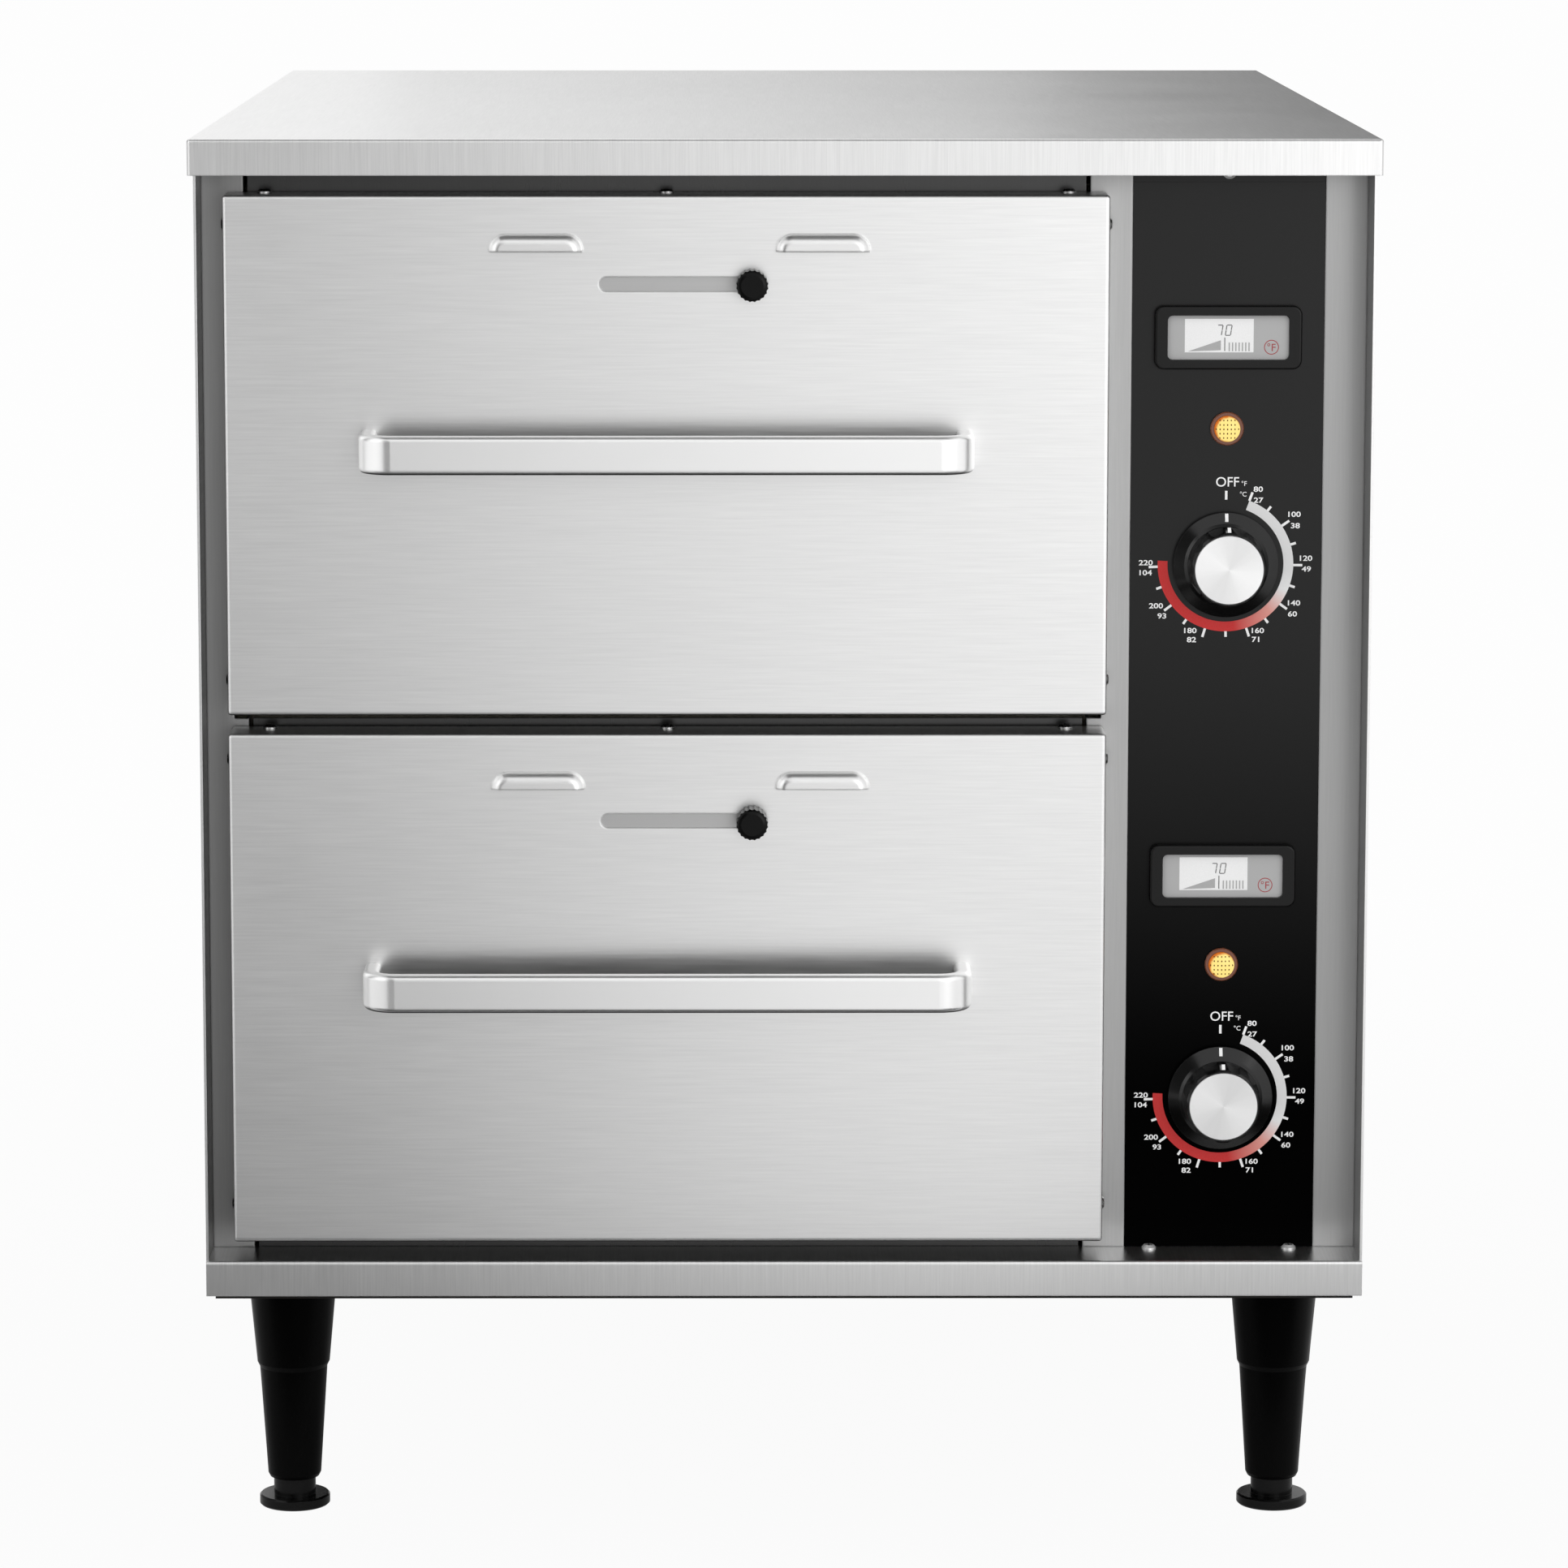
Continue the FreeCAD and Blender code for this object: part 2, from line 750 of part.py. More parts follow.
def make_face_frame():
    """Three stiles: channels that stand on the base and carry the front of the cavities."""
    slit_middle = drawer_low(1) - d.drawer_gap / 2
    deep = d.stile_side_return
    shallow = d.stile_edge_return
    stiles = (
        ("left_stile", -inner_half, opening_left, deep, shallow, -1),
        ("centre_stile", opening_right, panel_left, shallow, shallow, 1),
        ("right_stile", panel_right, inner_half, shallow, deep, 0),
    )
    tall = (floor_top, under_cover - d.running_gap)
    for name, low_x, high_x, low_deep, high_deep, opening_side in stiles:
        back = frame_face + d.sheet
        face = box(f"{name}_face", (low_x, high_x), (frame_face, back), tall)
        low_end = (frame_face, back + low_deep)
        high_end = (frame_face, back + high_deep)
        low_return = box(f"{name}_low_return", (low_x, low_x + d.sheet), low_end, tall)
        high_return = box(f"{name}_high_return", (high_x - d.sheet, high_x), high_end, tall)
        channel = fuse(f"{name}_channel", face, low_return, high_return)
        if opening_side == 0:
            piece(name, channel)
            continue
        edge = opening_left if opening_side < 0 else opening_right
        slit = box(
            f"{name}_slit",
            span(opening_side, -d.sheet, d.slit_reach, edge),
            (frame_face - d.sheet, frame_face + d.sheet + d.stile_edge_return + d.sheet),
            (slit_middle - d.flange_slit / 2, slit_middle + d.flange_slit / 2),
        )
        piece(name, cut(name, channel, slit))


def element_lanes():
    """The X of each straight run of a heating element."""
    first = (ELEMENT_RUNS - 1) / 2
    return [drawer_x + (lane - first) * d.element_pitch for lane in range(ELEMENT_RUNS)]


def element_height(index):
    """The level of the middle of a heating element."""
    return drawer_low(index) + d.drawer_overlap + d.element_lift + d.element_radius


def capillary_y():
    """Where the capillary tubes cross into the cavities."""
    return panel_back + d.thermostat_depth + d.capillary_run + d.capillary_bend


def make_liners():
    """Cavity liners: open-fronted boxes with front flanges and posts for the elements."""
    slit_middle = drawer_low(1) - d.drawer_gap / 2
    for index, word in enumerate(DRAWERS):
        low = drawer_low(index) + d.drawer_overlap
        high = drawer_low(index) + drawer_height - d.drawer_overlap
        wide = (drawer_x - liner_half, drawer_x + liner_half)
        outer = box(
            f"{word}_liner_outer",
            wide,
            (flange_face, cavity_back + d.liner_sheet),
            (low - d.liner_sheet, high + d.liner_sheet),
        )
        inner = box(
            f"{word}_liner_inner",
            (drawer_x - wall_half, drawer_x + wall_half),
            (flange_face, cavity_back),
            (low, high),
        )
        flange_low = slit_middle + d.flange_slit / 2 if index else floor_top
        flange_high = under_cover - d.running_gap if index else slit_middle - d.flange_slit / 2
        thick = (flange_face, flange_face + d.liner_sheet)
        under = box(f"{word}_liner_low_flange", wide, thick, (flange_low, low - d.liner_sheet))
        over = box(f"{word}_liner_high_flange", wide, thick, (high + d.liner_sheet, flange_high))
        posts = []
        for lane, x in enumerate(element_lanes()):
            for row, share in enumerate(POST_SHARES):
                y = drawer_back + carrier_length * share
                posts.append(
                    box(
                        f"{word}_post_{lane}_{row}",
                        (x - d.post_width / 2, x + d.post_width / 2),
                        (y, y + d.post_depth),
                        (low - d.liner_sheet / 2, low + d.element_lift - d.running_gap),
                    )
                )
        shell = cut(f"{word}_liner_shell", outer, inner)
        whole = fuse(f"{word}_liner_whole", shell, under, over, *posts)
        tails = (element_lanes()[0], element_lanes()[-1])
        tools = [
            rod(
                f"{word}_liner_tail_{i}",
                d.element_radius + d.running_gap,
                3 * d.liner_sheet,
                (x, cavity_back - d.liner_sheet, element_height(index)),
                "y",
            )
            for i, x in enumerate(tails)
        ]
        tools.append(
            rod(
                f"{word}_liner_capillary",
                d.capillary_hole_radius,
                3 * d.liner_sheet,
                (drawer_x + wall_half - d.liner_sheet, capillary_y(), control_level(index, d.dial_level)),
                "x",
            )
        )
        piece(f"{word}_cavity_liner", cut(f"{word}_cavity_liner", whole, *tools))


def make_insulation():
    """Insulation around each cavity, and the wall that keeps the cavities from the controls."""
    jackets = []
    thick = d.insulation_thickness
    for index, word in enumerate(DRAWERS):
        low = drawer_low(index) + d.drawer_overlap - d.liner_sheet
        high = drawer_low(index) + drawer_height - d.drawer_overlap + d.liner_sheet
        back = cavity_back + d.liner_sheet
        block = box(
            f"{word}_jacket_block",
            (drawer_x - liner_half - thick, drawer_x + liner_half + thick),
            (frame_face + d.insulation_start, back + thick),
            (low - thick, high + thick),
        )
        tools = [
            box(
                f"{word}_jacket_space",
                (drawer_x - liner_half, drawer_x + liner_half),
                (frame_face, back),
                (low, high),
            )
        ]
        for i, x in enumerate((element_lanes()[0], element_lanes()[-1])):
            tail = (x, cavity_back, element_height(index))
            tools.append(rod(f"{word}_jacket_tail_{i}", d.element_hole_radius, 2 * thick, tail, "y"))
        entry = (drawer_x + wall_half, capillary_y(), control_level(index, d.dial_level))
        tools.append(rod(f"{word}_jacket_capillary", d.capillary_hole_radius, 2 * thick, entry, "x"))
        jackets.append(cut(f"{word}_jacket", block, *tools))
    piece("cavity_insulation", group("cavity_insulation", *jackets))
    wall = box(
        "divider_blank",
        (divider_left, divider_right),
        (frame_face + d.insulation_start, rear_inner),
        (floor_top, under_cover),
    )
    holes = [
        rod(
            f"{word}_divider_hole",
            d.capillary_hole_radius,
            3 * d.sheet,
            (divider_left - d.sheet, capillary_y(), control_level(index, d.dial_level)),
            "x",
        )
        for index, word in enumerate(DRAWERS)
    ]
    piece("compartment_divider", cut("compartment_divider", wall, *holes))


def pipe(path, radius):
    """A round bar along a path of straight runs and bends that starts along its first edge."""
    first = path.Edges[0]
    start = first.valueAt(first.FirstParameter)
    way = first.tangentAt(first.FirstParameter)
    ring = Part.Wire([Part.Circle(start, way, radius).toShape()])
    return path.makePipeShell([ring], True, True)


def bend(centre, radius, start_degrees, end_degrees):
    """A level arc about a centre, between two directions."""
    points = []
    for degrees in (start_degrees, (start_degrees + end_degrees) / 2, end_degrees):
        turn = math.radians(degrees)
        points.append(centre + FreeCAD.Vector(math.cos(turn), math.sin(turn), 0) * radius)
    return Part.Arc(*points).toShape()


def make_elements():
    """Heating elements: one tube bent into straight runs, both ends through the back of the cavity."""
    elements = []
    half = d.element_pitch.value / 2
    near = drawer_back.value + d.element_end_space.value + half
    far = cavity_back.value - d.element_end_space.value - half
    tail = cavity_back.value + d.element_tail.value
    for index, word in enumerate(DRAWERS):
        z = element_height(index).value
        lanes = [x.value for x in element_lanes()]
        edges = []
        y = tail
        for lane, x in enumerate(lanes):
            end = near if lane % 2 == 0 else far
            if lane == len(lanes) - 1:
                end = tail
            edges.append(Part.makeLine(FreeCAD.Vector(x, y, z), FreeCAD.Vector(x, end, z)))
            y = end
            if lane < len(lanes) - 1:
                middle = FreeCAD.Vector(x + half, end, z)
                edges.append(bend(middle, half, 180, 360 if lane % 2 == 0 else 0))
        tube = doc.addObject("Part::Feature", f"{word}_element")
        tube.Shape = pipe(Part.Wire(edges), d.element_radius.value)
        elements.append(tube)
    piece("heating_elements", group("heating_elements", *elements))


def sensor(index, word):
    """The capillary tube of a thermostat and the sensing bulb at its end."""
    turn = d.capillary_bend.value
    z = control_level(index, d.dial_level).value
    x = panel_x.value
    y = (panel_back + d.thermostat_depth - d.capillary_radius).value
    across = capillary_y().value
    bulb_x = (drawer_x + wall_half - d.bulb_inset).value
    bend_at = across - turn
    corner = FreeCAD.Vector(x - turn, bend_at, z)
    inner = FreeCAD.Vector(bulb_x + turn, across + turn, z)
    edges = [
        Part.makeLine(FreeCAD.Vector(x, y, z), FreeCAD.Vector(x, bend_at, z)),
        bend(corner, turn, 0, 90),
        Part.makeLine(FreeCAD.Vector(x - turn, across, z), FreeCAD.Vector(bulb_x + turn, across, z)),
        bend(inner, turn, 270, 180),
        Part.makeLine(FreeCAD.Vector(bulb_x, across + turn, z), FreeCAD.Vector(bulb_x, across + 2 * turn, z)),
    ]
    tube = doc.addObject("Part::Feature", f"{word}_capillary")
    tube.Shape = pipe(Part.Wire(edges), d.capillary_radius.value)
    bulb_start = capillary_y() + 2 * d.capillary_bend - d.capillary_radius
    bulb_place = (drawer_x + wall_half - d.bulb_inset, bulb_start, control_level(index, d.dial_level))
    return tube, rod(f"{word}_bulb", d.bulb_radius, d.bulb_length, bulb_place, "y")


def make_wiring():
    """Terminal block on the divider, and the cable gland in the rear panel."""
    y = (front + rear_outer) / 2
    low = floor_top + d.block_level
    piece(
        "terminal_block",
        box(
            "terminal_block",
            (divider_right, divider_right + d.block_depth),
            (y - d.block_length / 2, y + d.block_length / 2),
            (low, low + d.block_height),
        ),
    )
    outline = [
        (d.gland_bore, -d.sheet - d.locknut_height - d.sheet),
        (d.gland_radius, -d.sheet - d.locknut_height - d.sheet),
        (d.gland_radius, 0),
        (d.gland_flange_radius, 0),
        (d.gland_flange_radius, d.gland_flange),
        (d.gland_nut_radius, d.gland_flange),
        (d.gland_nut_radius, d.gland_projection - d.gland_flange / 2),
        (d.gland_nut_radius - d.gland_flange / 2, d.gland_projection),
        (d.gland_bore, d.gland_projection),
    ]
    gland = turned("gland_body", outline, "y")
    place(gland, panel_x, rear_outer, floor_top + d.gland_level)
    nut_low = rear_inner - d.locknut_height
    blank = rod(
        "locknut_blank",
        d.gland_flange_radius,
        d.locknut_height,
        (panel_x, nut_low, floor_top + d.gland_level),
        "y",
    )
    hole = rod(
        "locknut_hole",
        d.gland_radius + d.bore_fit,
        d.locknut_height,
        (panel_x, nut_low, floor_top + d.gland_level),
        "y",
    )
    piece("cord_gland", group("cord_gland", gland, cut("gland_locknut", blank, hole)))


def panel_screw_level():
    """The height of the screw that holds the control panel above its overlay."""
    return cover_low - d.overlay_top_drop + d.screw_head_radius + d.panel_sheet


def foot_screw_places():
    """Where two screws in the base pan stop the foot of the control panel."""
    reach = d.panel_width * PANEL_SCREW_SHARE
    y = overlay_face - d.running_gap - d.screw_head_radius
    return [(x, y, floor_top) for x in (panel_x - reach, panel_x + reach)]


def make_control_panel():
    """Control panel with its printed overlay, pierced for the controls."""
    overlay_top = cover_low - d.overlay_top_drop
    plates = (
        ("control_panel", (panel_face, panel_back), (floor_top, under_cover - d.running_gap)),
        ("control_overlay", (overlay_face, panel_face), (floor_top + d.running_gap, overlay_top)),
    )
    for name, thick, tall in plates:
        blank = box(f"{name}_blank", (panel_left, panel_right), thick, tall)
        start = overlay_face - d.sheet
        deep = panel_back - overlay_face + 2 * d.sheet
        tools = []
        for index, word in enumerate(DRAWERS):
            dial = (panel_x, start, control_level(index, d.dial_level))
            lamp = (panel_x, start, control_level(index, d.lamp_level))
            tools.append(rod(f"{name}_{word}_dial_hole", d.shaft_hole_radius, deep, dial, "y"))
            tools.append(rod(f"{name}_{word}_lamp_hole", d.lamp_body_radius + d.screw_fit, deep, lamp, "y"))
            case = case_block(f"{name}_{word}_case_hole", index, d.screw_fit, (start, start + deep))
            tools.append(case)
        tools.append(screw_bore(f"{name}_bore", (panel_x, start, panel_screw_level()), "y", deep))
        piece(name, cut(name, blank, *tools))


def case_block(name, index, extra, thick):
    """The space of a thermometer case through the panel."""
    middle = control_level(index, d.thermometer_level)
    wide = d.bezel_width / 2 - d.case_inset + extra
    tall = d.bezel_height / 2 - d.case_inset + extra
    return box(name, (panel_x - wide, panel_x + wide), thick, (middle - tall, middle + tall))


def make_thermometers():
    """Thermometers: a bezel with its case behind the panel, and the display inside."""
    bezels = []
    displays = []
    for index, word in enumerate(DRAWERS):
        middle = control_level(index, d.thermometer_level)
        bezel_face = overlay_face - d.bezel_depth
        blank = box(
            f"{word}_bezel_blank",
            (panel_x - d.bezel_width / 2, panel_x + d.bezel_width / 2),
            (bezel_face, overlay_face),
            (middle - d.bezel_height / 2, middle + d.bezel_height / 2),
        )
        corners = rounded(f"{word}_bezel_corners", blank, d.bezel_radius, lambda edge: runs(edge, "y"))
        soft = rounded(
            f"{word}_bezel_soft",
            corners,
            d.bezel_depth / 4,
            lambda edge: lies(edge, "y", bezel_face),
        )
        case_thick = (overlay_face - d.bezel_depth / 4, panel_back + d.case_depth)
        case = case_block(f"{word}_case", index, 0, case_thick)
        window = box(
            f"{word}_window_blank",
            (panel_x - d.window_width / 2, panel_x + d.window_width / 2),
            (bezel_face - d.sheet, bezel_face + d.window_depth + d.display_sheet),
            (middle - d.window_height / 2, middle + d.window_height / 2),
        )
        hole = rounded(f"{word}_window_hole", window, d.window_radius, lambda edge: runs(edge, "y"))
        bezels.append(cut(f"{word}_bezel", fuse(f"{word}_bezel_whole", soft, case), hole))
        glass_half = d.window_width / 2 - d.bore_fit
        glass_tall = d.window_height / 2 - d.bore_fit
        glass = box(
            f"{word}_display_blank",
            (panel_x - glass_half, panel_x + glass_half),
            (bezel_face + d.window_depth, bezel_face + d.window_depth + d.display_sheet),
            (middle - glass_tall, middle + glass_tall),
        )
        displays.append(rounded(f"{word}_display", glass, d.window_radius, lambda edge: runs(edge, "y")))
    piece("thermometer_bezels", group("thermometer_bezels", *bezels))
    piece("thermometer_displays", group("thermometer_displays", *displays))


def make_lamps():
    """Pilot lamps: a rimmed body through the panel and a domed lens in its rim."""
    bodies = []
    lenses = []
    seat = d.lamp_rim / 2
    body_outline = [
        (0, -d.lamp_body_length),
        (d.lamp_body_radius, -d.lamp_body_length),
        (d.lamp_body_radius, 0),
        (d.lamp_rim_radius, 0),
        (d.lamp_rim_radius, d.lamp_rim - d.lamp_rim / 4),
        (d.lamp_rim_radius - d.lamp_rim / 4, d.lamp_rim),
        (d.lens_radius + d.bore_fit, d.lamp_rim),
        (d.lens_radius + d.bore_fit, seat),
        (0, seat),
    ]
    lens_outline = [
        (0, seat),
        (d.lens_radius, seat),
        *((d.lens_radius * wide, d.lens_height * tall) for wide, tall in LENS_PROFILE_SHARES),
        (0, d.lens_height),
    ]
    for index, word in enumerate(DRAWERS):
        level = control_level(index, d.lamp_level)
        body = turned(f"{word}_lamp_body", body_outline, "-y")
        place(body, panel_x, overlay_face, level)
        bodies.append(body)
        lens = turned(f"{word}_lamp_lens", lens_outline, "-y")
        place(lens, panel_x, overlay_face, level)
        lenses.append(lens)
    piece("pilot_lamp_bodies", group("pilot_lamp_bodies", *bodies))
    piece("pilot_lamp_lenses", group("pilot_lamp_lenses", *lenses))


def make_dials():
    """Thermostats with their sensing bulbs, and the shafts, fluted knobs and caps in front."""
    bodies = []
    bore = d.shaft_radius + d.bore_fit
    top = d.grip_height + d.cap_thickness
    knob_outline = [
        (bore, d.skirt_gap),
        (d.skirt_radius, d.skirt_gap),
        (d.skirt_radius, d.skirt_gap + d.skirt_height),
        (d.grip_foot_radius, d.grip_foot_height),
        (d.grip_radius, d.grip_foot_height + d.skirt_gap),
        (d.grip_top_radius, top - d.grip_bevel),
        (d.grip_top_radius - d.grip_bevel, top),
        (d.cap_radius + d.bore_fit, top),
        (d.cap_radius + d.bore_fit, d.grip_height),
        (0, d.grip_height),
        (0, d.shaft_reach + d.running_gap),
        (bore, d.shaft_reach + d.running_gap),
    ]
    cap_outline = [
        (0, d.grip_height),
        (d.cap_radius, d.grip_height),
        (d.cap_radius, top - d.cap_bevel),
        (d.cap_radius - d.cap_bevel, top),
        (0, top),
    ]
    for index, word in enumerate(DRAWERS):
        level = control_level(index, d.dial_level)
        knob = turned(f"{word}_dial_knob", knob_outline, "-y")
        fluted(
            knob,
            d.grip_flute_radius,
            d.grip_top_radius + d.grip_flute_radius - d.grip_flute_depth,
            d.grip_foot_height + 2 * d.skirt_gap,
            d.grip_height,
            GRIP_FLUTES,
        )
        place(knob, panel_x, overlay_face, level)
        piece(f"{word}_dial_knob", knob)
        cap = turned(f"{word}_dial_cap", cap_outline, "-y")
        place(cap, panel_x, overlay_face, level)
        piece(f"{word}_dial_cap", cap)
        shaft_end = panel_back + d.shaft_depth
        shaft = rod(
            f"{word}_thermostat_shaft",
            d.shaft_radius,
            shaft_end - overlay_face + d.shaft_reach,
            (panel_x, shaft_end, level),
            "-y",
        )
        piece(f"{word}_thermostat_shaft", shaft)
        blank = box(
            f"{word}_thermostat_blank",
            (panel_x - d.thermostat_width / 2, panel_x + d.thermostat_width / 2),
            (panel_back, panel_back + d.thermostat_depth),
            (level - d.thermostat_height / 2, level + d.thermostat_height / 2),
        )
        socket = rod(
            f"{word}_thermostat_socket",
            bore,
            d.shaft_depth + d.running_gap,
            (panel_x, panel_back, level),
            "y",
        )
        case = cut(f"{word}_thermostat_case", blank, socket)
        bodies.append(fuse(f"{word}_thermostat", case, *sensor(index, word)))
    piece("thermostats", group("thermostats", *bodies))


def make_cabinet_fasteners():
    """Screws of the base, the rear panel and the control panel, and the leg nuts."""
    fasteners = []
    long = d.screw_length - d.sheet
    for i, (side, x, y, z) in enumerate(base_screw_places()):
        fasteners.append(screw(f"base_screw_{i}", (x, y, z), "x" if side > 0 else "-x", long))
    for i, (x, z) in enumerate(rear_screw_places()):
        fasteners.append(screw(f"rear_screw_{i}", (x, rear_outer, z), "y", long))
    fasteners.append(screw("panel_screw", (panel_x, panel_face, panel_screw_level()), "-y", long))
    for i, base in enumerate(foot_screw_places()):
        fasteners.append(screw(f"foot_screw_{i}", base, "z", long))
    for name, x, y in leg_places():
        blank = doc.addObject("Part::Prism", f"{name}_nut_blank")
        blank.Polygon = NUT_SIDES
        bind(blank, "Circumradius", d.leg_nut_flats / 2 / math.cos(math.pi / NUT_SIDES))
        bind(blank, "Height", d.leg_nut_height)
        place(blank, x, y, base_low)
        bore = d.leg_stud_radius + d.bore_fit
        hole = rod(f"{name}_nut_hole", bore, d.leg_nut_height, (x, y, base_low), "z")
        fasteners.append(cut(f"{name}_nut", blank, hole))
    piece("cabinet_fasteners", group("cabinet_fasteners", *fasteners))


def make_cabinet_runners():
    """Cabinet runners: channels on the cavity walls, with pins for the front rollers."""
    runners = []
    for index, word in enumerate(DRAWERS):
        low = drawer_low(index) + d.runner_level
        high = drawer_low(index) + runner_top_level + d.runner_sheet
        for side, hand in SIDES:
            name = f"{word}_{hand}_runner"
            deep = (flange_face + d.runner_start, carrier_back + d.roller_setback / 2)
            wall = span(side, wall_half - d.runner_sheet, wall_half, drawer_x)
            web = box(f"{name}_web", wall, deep, (low, high))
            lip = span(side, wall_half - d.runner_width, wall_half, drawer_x)
            under = box(f"{name}_under", lip, deep, (low, low + d.runner_sheet))
            over = box(f"{name}_over", lip, deep, (high - d.runner_sheet, high))
            seat = drawer_x + side * (wall_half - d.runner_sheet)
            level = drawer_low(index) + roller_level
            reach = d.roller_width + 2 * d.running_gap
            inward = "-x" if side > 0 else "x"
            pin_start = (seat, front_roller_y, level)
            head_start = (seat - side * reach, front_roller_y, level)
            pin = rod(f"{name}_pin", d.pin_radius, reach + d.pin_head, pin_start, inward)
            head = rod(f"{name}_pin_head", d.pin_head_radius, d.pin_head, head_start, inward)
            runners.append(fuse(name, web, under, over, pin, head))
    piece("cabinet_runners", group("cabinet_runners", *runners))


def roller(name, x_low, y, z):
    """A plain roller with a bore for its pin."""
    tread = rod(f"{name}_tread", d.roller_radius, d.roller_width, (x_low, y, z), "x")
    bore = rod(f"{name}_bore", d.pin_radius + d.bore_fit, d.roller_width, (x_low, y, z), "x")
    return cut(name, tread, bore)


def make_rollers(index, word):
    """The front pair of rollers on the cabinet and the rear pair on the drawer."""
    level = drawer_low(index) + roller_level
    fronts = []
    rears = []
    for side, hand in SIDES:
        outer = wall_half - d.runner_sheet - d.running_gap
        at_front = span(side, outer - d.roller_width, outer, drawer_x)
        fronts.append(roller(f"{word}_{hand}_front_roller", at_front[0], front_roller_y, level))
        inner = carrier_half + d.runner_sheet + d.running_gap
        at_rear = span(side, inner, inner + d.roller_width, drawer_x)
        rears.append(roller(f"{word}_{hand}_rear_roller", at_rear[0], rear_roller_y, level))
    piece(f"{word}_front_rollers", group(f"{word}_front_rollers", *fronts))
    piece(f"{word}_rear_rollers", group(f"{word}_rear_rollers", *rears))


def make_drawer_runners(index, word):
    """Drawer runners: angles on the carrier that ride on the front rollers and pin the rear ones."""
    runners = []
    low = drawer_low(index)
    for side, hand in SIDES:
        name = f"{word}_{hand}_rail"
        deep = (drawer_back + d.runner_start, rear_roller_y + d.roller_radius)
        web_x = span(side, carrier_half, carrier_half + d.runner_sheet, drawer_x)
        web = box(
            f"{name}_web",
            web_x,
            deep,
            (low + d.runner_level + d.runner_sheet + d.runner_web_gap, low + rail_level + d.runner_sheet),
        )
        reach = carrier_half + d.runner_sheet + d.roller_width + 2 * d.running_gap
        top = box(
            f"{name}_top",
            span(side, carrier_half, reach, drawer_x),
            deep,
            (low + rail_level, low + rail_level + d.runner_sheet),
        )
        outward = "x" if side > 0 else "-x"
        seat = drawer_x + side * (carrier_half + d.runner_sheet)
        long = d.roller_width + 2 * d.running_gap
        level = low + roller_level
        pin_start = (seat, rear_roller_y, level)
        head_start = (seat + side * long, rear_roller_y, level)
        pin = rod(f"{name}_pin", d.pin_radius, long + d.pin_head, pin_start, outward)
        head = rod(f"{name}_head", d.pin_head_radius, d.pin_head, head_start, outward)
        runners.append(fuse(name, web, top, pin, head))
    piece(f"{word}_drawer_runners", group(f"{word}_drawer_runners", *runners))


def make_carrier(index, word):
    """Pan carrier: a frame behind the drawer front whose ledge takes the rim of the pan."""
    low = drawer_low(index) + ledge_level - d.carrier_height
    ledge = drawer_low(index) + ledge_level
    outer = box(
        f"{word}_carrier_outer",
        (drawer_x - carrier_half, drawer_x + carrier_half),
        (drawer_back, carrier_back),
        (low, ledge),
    )
    inside = carrier_half - d.carrier_sheet
    inner = box(
        f"{word}_carrier_inner",
        (drawer_x - inside, drawer_x + inside),
        (drawer_back + d.carrier_sheet, carrier_back - d.carrier_sheet),
        (low, ledge - d.carrier_sheet),
    )
    half = d.pan_width / 2 - d.pan_rim + d.carrier_pan_gap
    start = drawer_back + d.carrier_end_margin + d.pan_rim - d.carrier_pan_gap
    end = carrier_back - d.carrier_end_margin - d.pan_rim + d.carrier_pan_gap
    mouth = box(f"{word}_carrier_mouth", (drawer_x - half, drawer_x + half), (start, end), (low, ledge))
    piece(f"{word}_pan_carrier", cut(f"{word}_pan_carrier", outer, inner, mouth))


def pan_block(name, inset, low, high, radius, floor_radius):
    """A block with the rounded corners and floor of the pan."""
    half = d.pan_width / 2 - inset
    start = drawer_back + d.carrier_end_margin + inset
    end = carrier_back - d.carrier_end_margin - inset
    blank = box(name + "_blank", (drawer_x - half, drawer_x + half), (start, end), (low, high))
    corners = rounded(name + "_corners", blank, radius, lambda edge: runs(edge, "z"))
    if floor_radius is None:
        return corners
    return rounded(name, corners, floor_radius, lambda edge: lies(edge, "z", low))


def make_pan(index, word):
    """Food pan: a deep tray that hangs by its rim."""
    ledge = drawer_low(index) + ledge_level
    low = ledge + d.pan_sheet - d.pan_depth
    high = ledge + d.pan_sheet
    body = pan_block(f"{word}_pan_body", d.pan_rim, low, high, d.pan_corner_radius, d.pan_floor_radius)
    rim = pan_block(f"{word}_pan_rim", as_size(0), ledge, high, d.pan_corner_radius, None)
    hollow = pan_block(
        f"{word}_pan_hollow",
        d.pan_rim + d.pan_sheet,
        low + d.pan_sheet,
        high + d.pan_depth,
        d.pan_corner_radius - d.pan_sheet,
        d.pan_floor_radius - d.pan_sheet,
    )
    piece(f"{word}_food_pan", cut(f"{word}_food_pan", fuse(f"{word}_pan_whole", body, rim), hollow))


def louver_block(name, x, middle, inset, back):
    """A pressed hood: round at the top corners and along its top, straight at the bottom."""
    low = middle - d.louver_height / 2
    high = middle + d.louver_height / 2 - inset
    half = d.louver_width / 2 - inset
    face = drawer_face - d.louver_bulge + inset
    blank = box(name + "_blank", (x - half, x + half), (face, back), (low, high))
    ends = rounded(
        name + "_ends",
        blank,
        (d.louver_height - 2 * inset) * HOOD_CORNER_SHARE,
        lambda edge: runs(edge, "y") and lies(edge, "z", high),
    )
    return rounded(
        name,
        ends,
        d.louver_bulge - 1.5 * inset,
        lambda edge: lies(edge, "y", face) and not (runs(edge, "x") and lies(edge, "z", low)),
    )


